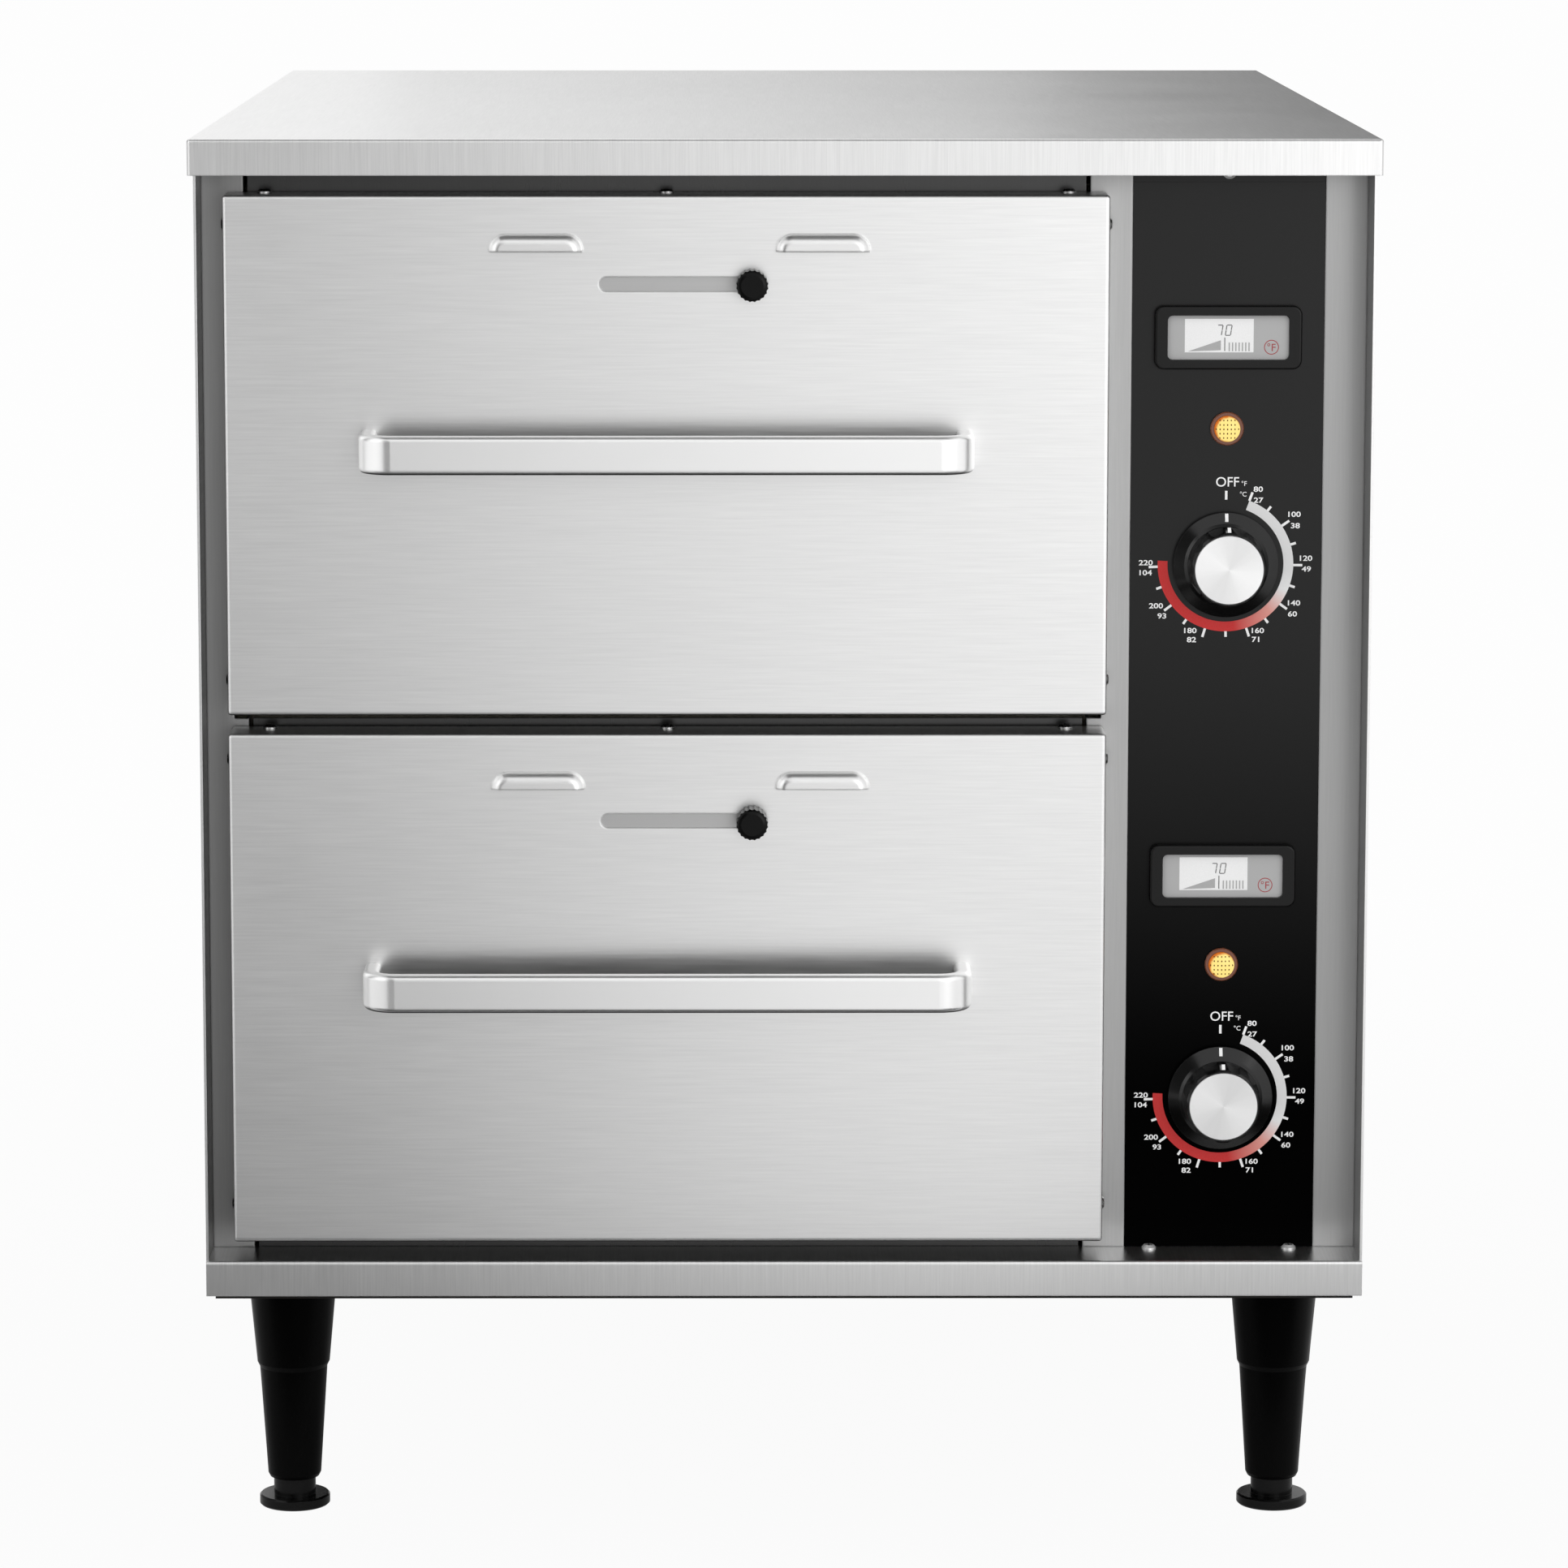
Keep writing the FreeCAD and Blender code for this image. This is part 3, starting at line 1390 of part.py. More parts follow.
def flange_screw_places(index):
    """Screws of a drawer front: three along the top, two at each side."""
    low = drawer_low(index)
    high = low + drawer_height
    y = drawer_back - d.skin_flange / 2
    reach = drawer_half - d.screw_end_margin
    top = [((drawer_x + x, y, high), "z") for x in (-reach, as_size(0), reach)]
    sides = []
    for side, _ in SIDES:
        for z in (low + d.side_screw_margin, high - d.side_screw_margin):
            sides.append(((drawer_x + side * drawer_half, y, z), "x" if side > 0 else "-x"))
    return top + sides


def flange_bores(name, index):
    """The holes for the flange screws of a drawer front."""
    inward = {"x": "-x", "-x": "x", "z": "-z"}
    return [
        screw_bore(f"{name}_{i}", base, inward[axis], d.screw_length)
        for i, (base, axis) in enumerate(flange_screw_places(index))
    ]


def handle_screw_places(index):
    """The middles of the two legs of a handle."""
    reach = (d.handle_length - d.handle_thickness) / 2
    level = drawer_low(index) + d.handle_level
    return [(drawer_x + side * reach, level) for side, _ in SIDES]


def make_drawer_front(index, word):
    """Drawer front: an outer skin, an inner skin that closes it, and insulation between."""
    low = drawer_low(index)
    high = low + drawer_height
    wide = (drawer_x - drawer_half, drawer_x + drawer_half)
    louver_z = high - d.louver_drop
    slot_z = high - d.slot_drop
    louver_xs = [vent_x + side * d.louver_spacing / 2 for side, _ in SIDES]
    outer = box(f"{word}_skin_outer", wide, (drawer_face, drawer_back), (low, high))
    soft = rounded(
        f"{word}_skin_bends",
        outer,
        d.bend_radius,
        lambda edge: runs(edge, "y") or lies(edge, "y", drawer_face),
    )
    inner = box(
        f"{word}_skin_inner",
        (wide[0] + d.skin_sheet, wide[1] - d.skin_sheet),
        (drawer_face + d.skin_sheet, drawer_back),
        (low + d.skin_sheet, high - d.skin_sheet),
    )
    tray = cut(f"{word}_skin_tray", soft, inner)
    inside = drawer_face + d.skin_sheet
    hoods = [
        louver_block(f"{word}_hood_{i}", x, louver_z, as_size(0), inside) for i, x in enumerate(louver_xs)
    ]
    straps = []
    strap_back = inside + 2 * d.running_gap + d.shutter_sheet
    strap_low = slot_z - d.slot_height - d.shutter_margin
    strap_high = louver_z + d.louver_height + d.shutter_margin
    strap_reach = d.vent_travel / 2 + d.slot_height
    for side, hand in SIDES:
        x = vent_x + side * strap_reach
        across = (x - d.strap_width / 2, x + d.strap_width / 2)
        straps.append(
            box(
                f"{word}_{hand}_strap",
                across,
                (strap_back, strap_back + d.shutter_sheet),
                (strap_low, strap_high),
            )
        )
        for end, z in (("foot", strap_low), ("head", strap_high - d.shutter_sheet)):
            straps.append(
                box(
                    f"{word}_{hand}_strap_{end}",
                    across,
                    (inside - d.skin_sheet / 2, strap_back + d.shutter_sheet),
                    (z, z + d.shutter_sheet),
                )
            )
    tools = [
        louver_block(f"{word}_throat_{i}", x, louver_z, d.skin_sheet * HOOD_WALL_SHARE, inside + d.skin_sheet)
        for i, x in enumerate(louver_xs)
    ]
    half = d.vent_travel / 2 + d.slot_height / 2
    slot = box(
        f"{word}_slot_blank",
        (vent_x - half, vent_x + half),
        (drawer_face - d.skin_sheet, inside + d.skin_sheet / 4),
        (slot_z - d.slot_height / 2, slot_z + d.slot_height / 2),
    )
    tools.append(rounded(f"{word}_slot", slot, d.slot_height * SLOT_END_SHARE, lambda edge: runs(edge, "y")))
    for i, (x, z) in enumerate(handle_screw_places(index)):
        start = (x, drawer_face - d.skin_sheet, z)
        tools.append(screw_bore(f"{word}_skin_handle_{i}", start, "y", 3 * d.skin_sheet))
    tools += flange_bores(f"{word}_skin_bore", index)
    whole = fuse(f"{word}_skin_whole", tray, *hoods, *straps)
    piece(f"{word}_drawer_skin", cut(f"{word}_drawer_skin", whole, *tools))

    gap = d.skin_sheet + d.skin_fit
    liner_wide = (wide[0] + gap, wide[1] - gap)
    liner_tall = (low + gap, high - gap)
    blank = box(f"{word}_inner_outer", liner_wide, (drawer_back - d.skin_flange, drawer_back), liner_tall)
    dish = box(
        f"{word}_inner_dish",
        (liner_wide[0] + d.skin_sheet, liner_wide[1] - d.skin_sheet),
        (drawer_back - d.skin_flange, drawer_back - d.skin_sheet),
        (liner_tall[0] + d.skin_sheet, liner_tall[1] - d.skin_sheet),
    )
    vents = [
        box(
            f"{word}_inner_vent_{i}",
            (x - d.louver_width / 2, x + d.louver_width / 2),
            (drawer_back - 2 * d.skin_sheet, drawer_back + d.skin_sheet),
            (louver_z - d.vent_hole_height / 2, louver_z + d.vent_hole_height / 2),
        )
        for i, x in enumerate(louver_xs)
    ]
    bores = flange_bores(f"{word}_inner_bore", index)
    piece(f"{word}_drawer_inner_skin", cut(f"{word}_drawer_inner_skin", blank, dish, *vents, *bores))
    core = box(
        f"{word}_drawer_core",
        (wide[0] + d.core_inset, wide[1] - d.core_inset),
        (drawer_face + d.core_setback, drawer_back - d.skin_sheet),
        (low + d.core_inset, high - d.core_top_drop),
    )
    piece(f"{word}_drawer_insulation", core)


def make_handle(index, word):
    """Bar handle: a flat bar bent back at both ends to the drawer front."""
    level = drawer_low(index) + d.handle_level
    half = d.handle_length / 2
    face = drawer_face - d.handle_projection
    tall = (level - d.handle_height / 2, level + d.handle_height / 2)
    outer = box(f"{word}_handle_outer", (drawer_x - half, drawer_x + half), (face, drawer_face), tall)
    reach = half - d.handle_thickness
    gap = box(
        f"{word}_handle_gap",
        (drawer_x - reach, drawer_x + reach),
        (face + d.handle_thickness, drawer_face),
        tall,
    )
    bow = cut(f"{word}_handle_bow", outer, gap)
    turn_in = rounded(
        f"{word}_handle_outer_bends",
        bow,
        d.handle_bend,
        lambda edge: runs(edge, "z") and lies(edge, "y", face),
    )
    bends = rounded(
        f"{word}_handle_bends",
        turn_in,
        d.handle_bend - d.handle_thickness,
        lambda edge: runs(edge, "z") and lies(edge, "y", face + d.handle_thickness) and edge.Length > 1,
    )
    soft = rounded(
        f"{word}_handle_soft",
        bends,
        d.handle_edge,
        lambda edge: any(lies(edge, "z", level) for level in tall) and not lies(edge, "y", drawer_face),
    )
    holes = [
        screw_bore(
            f"{word}_handle_bore_{i}",
            (x, drawer_face - d.handle_screw_length, z),
            "y",
            d.handle_screw_length,
        )
        for i, (x, z) in enumerate(handle_screw_places(index))
    ]
    piece(f"{word}_handle", cut(f"{word}_handle", soft, *holes))


def make_drawer_screws(index, word):
    """Screws of a drawer front and of its handle."""
    screws = []
    for i, (base, axis) in enumerate(flange_screw_places(index)):
        screws.append(screw(f"{word}_flange_screw_{i}", base, axis, d.screw_length - d.sheet))
    inside = drawer_face + d.skin_sheet
    for i, (x, z) in enumerate(handle_screw_places(index)):
        screws.append(screw(f"{word}_handle_screw_{i}", (x, inside, z), "y", d.handle_screw_length))
    piece(f"{word}_drawer_screws", group(f"{word}_drawer_screws", *screws))


def make_vent(index, word):
    """Vent shutter: a strip behind the slot with two blades for the louvers, and its knob."""
    high = drawer_low(index) + drawer_height
    louver_z = high - d.louver_drop
    slot_z = high - d.slot_drop
    start = drawer_face + d.skin_sheet + d.running_gap
    thick = (start, start + d.shutter_sheet)
    strip_low = slot_z - d.slot_height / 2 - d.shutter_margin
    strip_high = slot_z + d.slot_height / 2 + d.shutter_margin
    blade_half = d.louver_width / 2 + d.shutter_margin
    far_x = vent_x + d.louver_spacing / 2 + d.vent_travel + blade_half
    near_x = vent_x - d.vent_travel / 2 - d.slot_height - 3 * d.shutter_margin
    parts = [box(f"{word}_shutter_strip", (near_x, far_x), thick, (strip_low, strip_high))]
    for side, hand in SIDES:
        x = vent_x + side * d.louver_spacing / 2 + d.vent_travel
        blade_tall = (strip_low, louver_z + d.louver_height / 2 + d.shutter_margin)
        parts.append(box(f"{word}_{hand}_blade", (x - blade_half, x + blade_half), thick, blade_tall))
    knob_x = vent_x + d.vent_travel / 2
    knob_foot = drawer_face - d.vent_knob_gap
    stem = d.slot_height / 2 - d.running_gap
    stem_start = (knob_x, thick[1], slot_z)
    stem_reach = thick[1] - knob_foot
    stud_reach = stem_reach + d.vent_knob_height * VENT_STUD_SHARE
    parts.append(rod(f"{word}_shutter_stem", stem, stem_reach, stem_start, "-y"))
    parts.append(rod(f"{word}_shutter_stud", d.vent_stud_radius, stud_reach, stem_start, "-y"))
    piece(f"{word}_vent_shutter", fuse(f"{word}_vent_shutter", *parts))
    bore = d.vent_stud_radius + d.bore_fit
    top = d.vent_knob_gap + d.vent_knob_height
    bore_top = d.vent_knob_gap + d.vent_knob_height * VENT_BORE_SHARE
    outline = [
        (bore, d.vent_knob_gap),
        (d.vent_knob_radius * VENT_KNOB_FOOT_SHARE, d.vent_knob_gap),
        (d.vent_knob_radius, d.vent_knob_gap * 2),
        (d.vent_knob_radius, top - d.vent_knob_gap * 2),
        (d.vent_knob_radius * VENT_KNOB_SHOULDER_SHARE, top - d.vent_knob_gap / 2),
        (d.vent_knob_radius * VENT_KNOB_FACE_SHARE, top),
        (0, top),
        (0, bore_top),
        (bore, bore_top),
    ]
    knob = turned(f"{word}_vent_knob", outline, "-y")
    ring = d.vent_knob_radius + d.vent_flute_radius * VENT_FLUTE_SHARE
    fluted(knob, d.vent_flute_radius, ring, d.vent_knob_gap, d.vent_knob_height * 2, VENT_FLUTES)
    place(knob, knob_x, drawer_face, slot_z)
    piece(f"{word}_vent_knob", knob)


make_cover()
make_side_panels()
make_rear_panel()
make_base()
make_legs()
make_face_frame()
make_liners()
make_insulation()
make_elements()
make_wiring()
make_control_panel()
make_thermometers()
make_lamps()
make_dials()
make_cabinet_fasteners()
make_cabinet_runners()
for number, name in enumerate(DRAWERS):
    make_rollers(number, name)
    make_drawer_runners(number, name)
    make_carrier(number, name)
    make_pan(number, name)
    make_drawer_front(number, name)
    make_handle(number, name)
    make_drawer_screws(number, name)
    make_vent(number, name)
doc.recompute()

for item in doc.Objects:
    if "Invalid" in item.State or "Error" in item.State:
        raise RuntimeError(f"{item.Label} could not be made")
for item in LABELLED:
    if item.Shape.isNull() or not item.Shape.isValid():
        raise RuntimeError(f"{item.Label} has no sound shape")

os.makedirs("parts", exist_ok=True)
for item in LABELLED:
    item.Shape.exportStep(f"parts/{item.Label}.step")
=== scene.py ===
"""Dresses the two-drawer food warmer: finishes, printing, displays, lamps, screw heads and a plain studio."""

from __future__ import annotations

import json
import logging
import math
from dataclasses import dataclass
from enum import Enum
from typing import Callable, Iterable, Mapping, Sequence

import bmesh
import bpy
from mathutils import Matrix, Vector
from mathutils.bvhtree import BVHTree

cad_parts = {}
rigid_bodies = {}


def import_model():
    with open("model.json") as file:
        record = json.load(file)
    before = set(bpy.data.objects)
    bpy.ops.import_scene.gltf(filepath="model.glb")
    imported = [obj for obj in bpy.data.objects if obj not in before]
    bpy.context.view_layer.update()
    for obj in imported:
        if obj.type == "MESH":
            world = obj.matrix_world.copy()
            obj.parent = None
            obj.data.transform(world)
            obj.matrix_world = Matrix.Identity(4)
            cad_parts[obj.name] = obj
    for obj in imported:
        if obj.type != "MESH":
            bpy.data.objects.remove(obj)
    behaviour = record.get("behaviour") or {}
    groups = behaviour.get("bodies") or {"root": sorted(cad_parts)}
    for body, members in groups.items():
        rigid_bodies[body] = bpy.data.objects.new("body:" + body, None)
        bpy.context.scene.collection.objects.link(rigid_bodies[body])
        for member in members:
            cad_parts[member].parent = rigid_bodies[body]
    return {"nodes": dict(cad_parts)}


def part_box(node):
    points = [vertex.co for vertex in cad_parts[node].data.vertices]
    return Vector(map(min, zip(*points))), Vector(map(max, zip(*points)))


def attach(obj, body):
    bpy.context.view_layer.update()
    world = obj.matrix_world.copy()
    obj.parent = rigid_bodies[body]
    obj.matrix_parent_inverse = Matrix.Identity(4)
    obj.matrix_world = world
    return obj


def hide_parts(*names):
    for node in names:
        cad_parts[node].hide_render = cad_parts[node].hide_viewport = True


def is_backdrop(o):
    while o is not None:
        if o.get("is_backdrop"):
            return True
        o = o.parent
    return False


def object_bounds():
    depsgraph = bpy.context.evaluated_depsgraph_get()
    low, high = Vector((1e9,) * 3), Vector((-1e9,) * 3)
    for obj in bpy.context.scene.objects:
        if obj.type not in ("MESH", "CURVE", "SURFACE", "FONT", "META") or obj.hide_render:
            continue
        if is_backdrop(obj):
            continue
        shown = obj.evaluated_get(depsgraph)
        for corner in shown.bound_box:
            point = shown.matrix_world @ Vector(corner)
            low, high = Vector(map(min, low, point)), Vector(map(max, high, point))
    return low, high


LOG = logging.getLogger("food_warmer")
MM = 0.001
DRAWERS = ("upper", "lower")
LEG_CORNERS = ("front_left", "front_right", "rear_left", "rear_right")
LETTER_DEPTH = 0.01
LETTER_STEPS = 4
DIMPLE_GRID = (9, 7)
DIMPLE_REACH = 0.88
DIMPLE_FLATNESS = 0.4
Colour = tuple[float, float, float, float]


def grey(value: float) -> Colour:
    """A neutral colour of the given linear value."""
    return (value, value, value, 1.0)


def scaled(colour: Colour, share: float) -> Colour:
    """A colour with its brightness multiplied, and no part of it over 1."""
    red, green, blue = (min(1.0, part * share) for part in colour[:3])
    return (red, green, blue, 1.0)


def placed(name: str, data: bpy.types.ID) -> bpy.types.Object:
    """A new object in the scene."""
    item = bpy.data.objects.new(name, data)
    bpy.context.scene.collection.objects.link(item)
    return item


def cast_mesh(holder: bpy.types.Object) -> bpy.types.Mesh:
    """The plain mesh that an object gives once its modifiers have run."""
    evaluated = holder.evaluated_get(bpy.context.evaluated_depsgraph_get())
    return bpy.data.meshes.new_from_object(evaluated)


class Grain(Enum):
    """Direction in which the lines of a brushed sheet run."""

    ACROSS = "x"
    DEPTH = "y"
    UPRIGHT = "z"
    WRAPPED = "over the fold"


def arithmetic(operation: str, number_first: bool = False) -> Callable[[Wire, Wire | float], Wire]:
    """A Python operator of a wire that adds a Math node.

    Args:
        operation: Blender's name for the operation.
        number_first: Whether the wire is the second value.

    Returns:
        The method for the operator.
    """

    def operate(wire: Wire, other: Wire | float) -> Wire:
        """Add the node to the wire's bench."""
        return wire.bench.maths(operation, *((other, wire) if number_first else (wire, other)))

    return operate


class Wire:
    """An output socket that takes part in Python arithmetic."""

    __add__ = arithmetic("ADD")
    __radd__ = arithmetic("ADD", True)
    __sub__ = arithmetic("SUBTRACT")
    __rsub__ = arithmetic("SUBTRACT", True)
    __mul__ = arithmetic("MULTIPLY")
    __truediv__ = arithmetic("DIVIDE")

    def __init__(self, bench: Bench, socket: bpy.types.NodeSocket) -> None:
        """Keep the socket and the bench that it belongs to."""
        self.bench = bench
        self.socket = socket

    def __neg__(self) -> Wire:
        """Opposite."""
        return self * -1.0


class Bench:
    """A node tree with one short way of adding nodes to it."""

    def __init__(self, tree: bpy.types.NodeTree) -> None:
        """Start from an empty tree."""
        self.tree = tree
        tree.nodes.clear()

    def add(
        self,
        kind: str,
        settings: Mapping[str, object] | None = None,
        sockets: Mapping[str, object] | None = None,
        output: str = "",
    ) -> Wire | None:
        """Add one node.

        Args:
            kind: Blender's name for the node type.
            settings: Properties, set before the sockets; "stops" holds the stops of a colour ramp.
            sockets: Values or wires by the identifier or the name of an input.
            output: Identifier or name of the output that is wanted; the first one if empty.

        Returns:
            The wanted output, or None for a node that has none.
        """
        node = self.tree.nodes.new(kind)
        for name, value in (settings or {}).items():
            if name == "stops":
                self.set_stops(node.color_ramp, value)
            else:
                setattr(node, name, value)
        for name, value in (sockets or {}).items():
            socket = self.find(node.inputs, name)
            if isinstance(value, Wire):
                self.tree.links.new(value.socket, socket)
            else:
                socket.default_value = value
        if not node.outputs:
            return None
        return Wire(self, self.find(node.outputs, output) if output else node.outputs[0])

    @staticmethod
    def find(sockets: Iterable[bpy.types.NodeSocket], name: str) -> bpy.types.NodeSocket:
        """The socket with this identifier or, failing that, this name."""
        sockets = list(sockets)
        exact = [s for s in sockets if s.identifier == name]
        return (exact or [s for s in sockets if s.name == name])[0]

    @staticmethod
    def set_stops(ramp: bpy.types.ColorRamp, stops: Sequence[tuple[float, Colour]]) -> None:
        """Give a colour ramp these stops, from left to right."""
        while len(ramp.elements) < len(stops):
            ramp.elements.new(1.0)
        for element, (place, colour) in zip(ramp.elements, stops):
            element.position = place
            element.color = colour

    def maths(self, operation: str, first: Wire | float, second: Wire | float = 0.0) -> Wire:
        """A Math node on two values."""
        return self.add("ShaderNodeMath", {"operation": operation}, {"Value": first, "Value_001": second})

    def far(self, first: Wire, second: Wire) -> Wire:
        """Length of two offsets at right angles to each other."""
        return self.maths("SQRT", first * first + second * second)

    def smooth(self, value: Wire, low: float, high: float) -> Wire:
        """Rise smoothly from 0 at low to 1 at high."""
        return self.add(
            "ShaderNodeMapRange",
            {"interpolation_type": "SMOOTHSTEP"},
            {"Value": value, "From Min": low, "From Max": high},
        )

    def blend(self, share: Wire | float, first: Wire | Colour, second: Wire | Colour) -> Wire:
        """Mix two colours."""
        return self.add(
            "ShaderNodeMix",
            {"data_type": "RGBA"},
            {"Factor_Float": share, "A_Color": first, "B_Color": second},
            "Result_Color",
        )

    def place(self) -> Wire:
        """Place on the object, in metres."""
        return self.add("ShaderNodeTexCoord", output="Object")

    def parts(self, vector: Wire) -> tuple[Wire, Wire, Wire]:
        """The three numbers of a vector."""
        first = self.add("ShaderNodeSeparateXYZ", None, {"Vector": vector})
        outputs = first.socket.node.outputs
        return tuple(Wire(self, socket) for socket in outputs)

    def vector(self, x: Wire | float, y: Wire | float, z: Wire | float) -> Wire:
        """A vector of three values."""
        return self.add("ShaderNodeCombineXYZ", None, {"X": x, "Y": y, "Z": z})

    def stretched(self, place: Wire, per_metre: tuple[float, float, float]) -> Wire:
        """A place scaled on each axis."""
        return self.add("ShaderNodeMapping", None, {"Vector": place, "Scale": per_metre})

    def noise(self, place: Wire, per_metre: float = 1.0, detail: float = 2.0, rough: float = 0.5) -> Wire:
        """Soft noise between 0 and 1."""
        return self.add(
            "ShaderNodeTexNoise",
            None,
            {"Vector": place, "Scale": per_metre, "Detail": detail, "Roughness": rough},
        )

    def bump(self, height: Wire, depth: float, strength: float = 1.0, edge: float = 0.0) -> Wire:
        """A normal from a height, with the solid's edges eased by the edge radius."""
        sockets = {"Height": height, "Distance": depth, "Strength": strength}
        if edge > 0:
            sockets["Normal"] = self.add("ShaderNodeBevel", {"samples": 4}, {"Radius": edge})
        return self.add("ShaderNodeBump", None, sockets)

    def surface(self, sockets: Mapping[str, object]) -> None:
        """End a material in a Principled shader with these sockets."""
        shader = self.add("ShaderNodeBsdfPrincipled", None, sockets)
        self.add("ShaderNodeOutputMaterial", None, {"Surface": shader})


@dataclass(frozen=True)
class Finish:
    """A surface finish with a name of its own."""

    name: str

    def shade(self, bench: Bench) -> None:
        """Fill the material's tree."""
        raise NotImplementedError

    def material(self) -> bpy.types.Material:
        """Make the material once, and hand out the same one afterwards."""
        title = f"{self.name}_finish"
        known = bpy.data.materials.get(title)
        if known:
            return known
        material = bpy.data.materials.new(title)
        material.use_nodes = True
        self.shade(Bench(material.node_tree))
        return material


@dataclass(frozen=True)
class BrushedSteel(Finish):
    """Stainless sheet with fine brushed lines, and painted shade: a darker tone on the sides that face the
    ways it names.
    """

    grain: Grain = Grain.ACROSS
    tone: float = 0.9
    roughness: float = 0.3
    line_depth: float = 0.000014
    contrast: float = 0.14
    lines_per_metre: float = 1000.0
    edge: float = 0.0007
    # Painted shade: pairs of a way and the darker tone laid on faces that turn towards it.
    painted_shade_and_unlit_lens: tuple[tuple[tuple[float, float, float], float], ...] = ()
    fine_ends: float = 26.0
    broad_ends: float = 9.0
    broad_spacing: float = 7.0
    shares: tuple[float, float, float] = (0.72, 0.16, 0.12)
    clouds_per_metre: float = 9.0
    turn_span: tuple[float, float] = (0.35, 0.8)
    fold_turn: float = 0.6
    warmth: float = 0.995
    gloss_drop: float = 0.07
    line_gloss: float = 0.1
    cloud_gloss: float = 0.06

    def line_place(self, bench: Bench, along: float, across: float) -> Wire:
        """Where a point is in the brushing, long along the lines and short across them.

        Args:
            bench: The tree that is being filled.
            along: Scale along the lines, per metre.
            across: Scale across the lines, per metre.

        Returns:
            A vector for a noise node.
        """
        place = bench.place()
        if self.grain is not Grain.WRAPPED:
            scales = [across] * 3
            scales["xyz".index(self.grain.value)] = along
            return bench.stretched(place, tuple(scales))
        x, y, z = bench.parts(place)
        sideways = bench.maths("ABSOLUTE", self.facing(bench)[0])
        end_face = bench.maths("GREATER_THAN", sideways, self.fold_turn)
        over = x * (1.0 - end_face) + z * end_face
        return bench.vector(over * across, (y + z) * along, 0.0)

    @staticmethod
    def facing(bench: Bench) -> tuple[Wire, Wire, Wire]:
        """The way that the surface faces."""
        return bench.parts(bench.add("ShaderNodeNewGeometry", output="Normal"))

    def lined(self, bench: Bench, lines: Wire, tone: float) -> Wire:
        """The colour of the lines around a tone.

        Args:
            bench: The tree that is being filled.
            lines: Strength of the lines, from 0 to 1.
            tone: Grey level midway between dark and light lines.

        Returns:
            The colour.
        """
        low = tone * (1.0 - self.contrast)
        high = min(1.0, tone * (1.0 + self.contrast))
        return bench.blend(lines, grey(low), (high, high, high * self.warmth, 1.0))

    def shade(self, bench: Bench) -> None:
        """Fine lines in tone, roughness and relief, faint broad clouds, and painted shade on the faces that
        turn towards the listed ways.
        """
        fine = bench.noise(
            self.line_place(bench, self.fine_ends, self.lines_per_metre), detail=3.0, rough=0.6
        )
        broad = bench.noise(
            self.line_place(bench, self.broad_ends, self.lines_per_metre / self.broad_spacing), detail=2.0
        )
        cloud = bench.noise(bench.place(), self.clouds_per_metre, 3.0)
        lines = fine * self.shares[0] + broad * self.shares[1] + cloud * self.shares[2]
        colour = self.lined(bench, lines, self.tone)
        # Painted shade: blend towards a darker tone where the face turns towards a listed way.
        for way, tone in self.painted_shade_and_unlit_lens:
            x, y, z = self.facing(bench)
            turned = x * way[0] + y * way[1] + z * way[2]
            share = bench.smooth(turned, *self.turn_span)
            colour = bench.blend(share, colour, self.lined(bench, lines, tone))
        rough = self.roughness - self.gloss_drop + fine * self.line_gloss + cloud * self.cloud_gloss
        bench.surface(
            {
                "Base Color": colour,
                "Metallic": 1.0,
                "Roughness": rough,
                "Normal": bench.bump(fine, self.line_depth, 1.0, self.edge),
            }
        )


@dataclass(frozen=True)
class Moulding(Finish):
    """Moulded or coated surface with a fine grain, whose coat may come in between two heights."""

    colour: Colour = grey(0.01)
    roughness: float = 0.35
    unevenness: float = 0.12
    grain_per_metre: float = 2600.0
    grain_depth: float = 0.000012
    specular: float = 0.5
    coat: float = 0.0
    edge: float = 0.0003
    coat_roughness: float = 0.08
    coat_rise: tuple[float, float] | None = None
    clouds_per_metre: float = 38.0
    shares: tuple[float, float] = (0.6, 0.4)
    gloss_swing: float = 0.1

    def shade(self, bench: Bench) -> None:
        """Grain in relief, and clouds in tone and gloss."""
        place = bench.place()
        coat: Wire | float = self.coat
        if self.coat_rise:
            coat = bench.smooth(bench.parts(place)[2], *self.coat_rise) * self.coat
        grain = bench.noise(place, self.grain_per_metre, 2.0)
        cloud = bench.noise(place, self.clouds_per_metre, 3.0)
        low = scaled(self.colour, 1.0 - self.unevenness)
        high = scaled(self.colour, 1.0 + self.unevenness)
        share = cloud * self.shares[0] + grain * self.shares[1]
        bench.surface(
            {
                "Base Color": bench.blend(share, low, high),
                "Roughness": self.roughness - self.gloss_swing / 2 + cloud * self.gloss_swing,
                "Specular IOR Level": self.specular,
                "Coat Weight": coat,
                "Coat Roughness": self.coat_roughness,
                "Normal": bench.bump(grain, self.grain_depth, 1.0, self.edge),
            }
        )


@dataclass(frozen=True)
class PlatedScrews(Finish):
    """Zinc-plated screws and nuts."""

    tone: float = 0.8
    dark: float = 0.85
    metallic: float = 0.6
    roughness: float = 0.2
    gloss_swing: float = 0.12
    clouds_per_metre: float = 260.0
    grain_per_metre: float = 3000.0
    grain_depth: float = 0.000004
    edge: float = 0.0002

    def shade(self, bench: Bench) -> None:
        """Plating with a light cloud in its gloss."""
        place = bench.place()
        cloud = bench.noise(place, self.clouds_per_metre, 3.0)
        grain = bench.noise(place, self.grain_per_metre, 2.0)
        bench.surface(
            {
                "Base Color": bench.blend(cloud, grey(self.tone * self.dark), grey(self.tone)),
                "Metallic": self.metallic,
                "Roughness": self.roughness + cloud * self.gloss_swing,
                "Normal": bench.bump(grain, self.grain_depth, 1.0, self.edge),
            }
        )


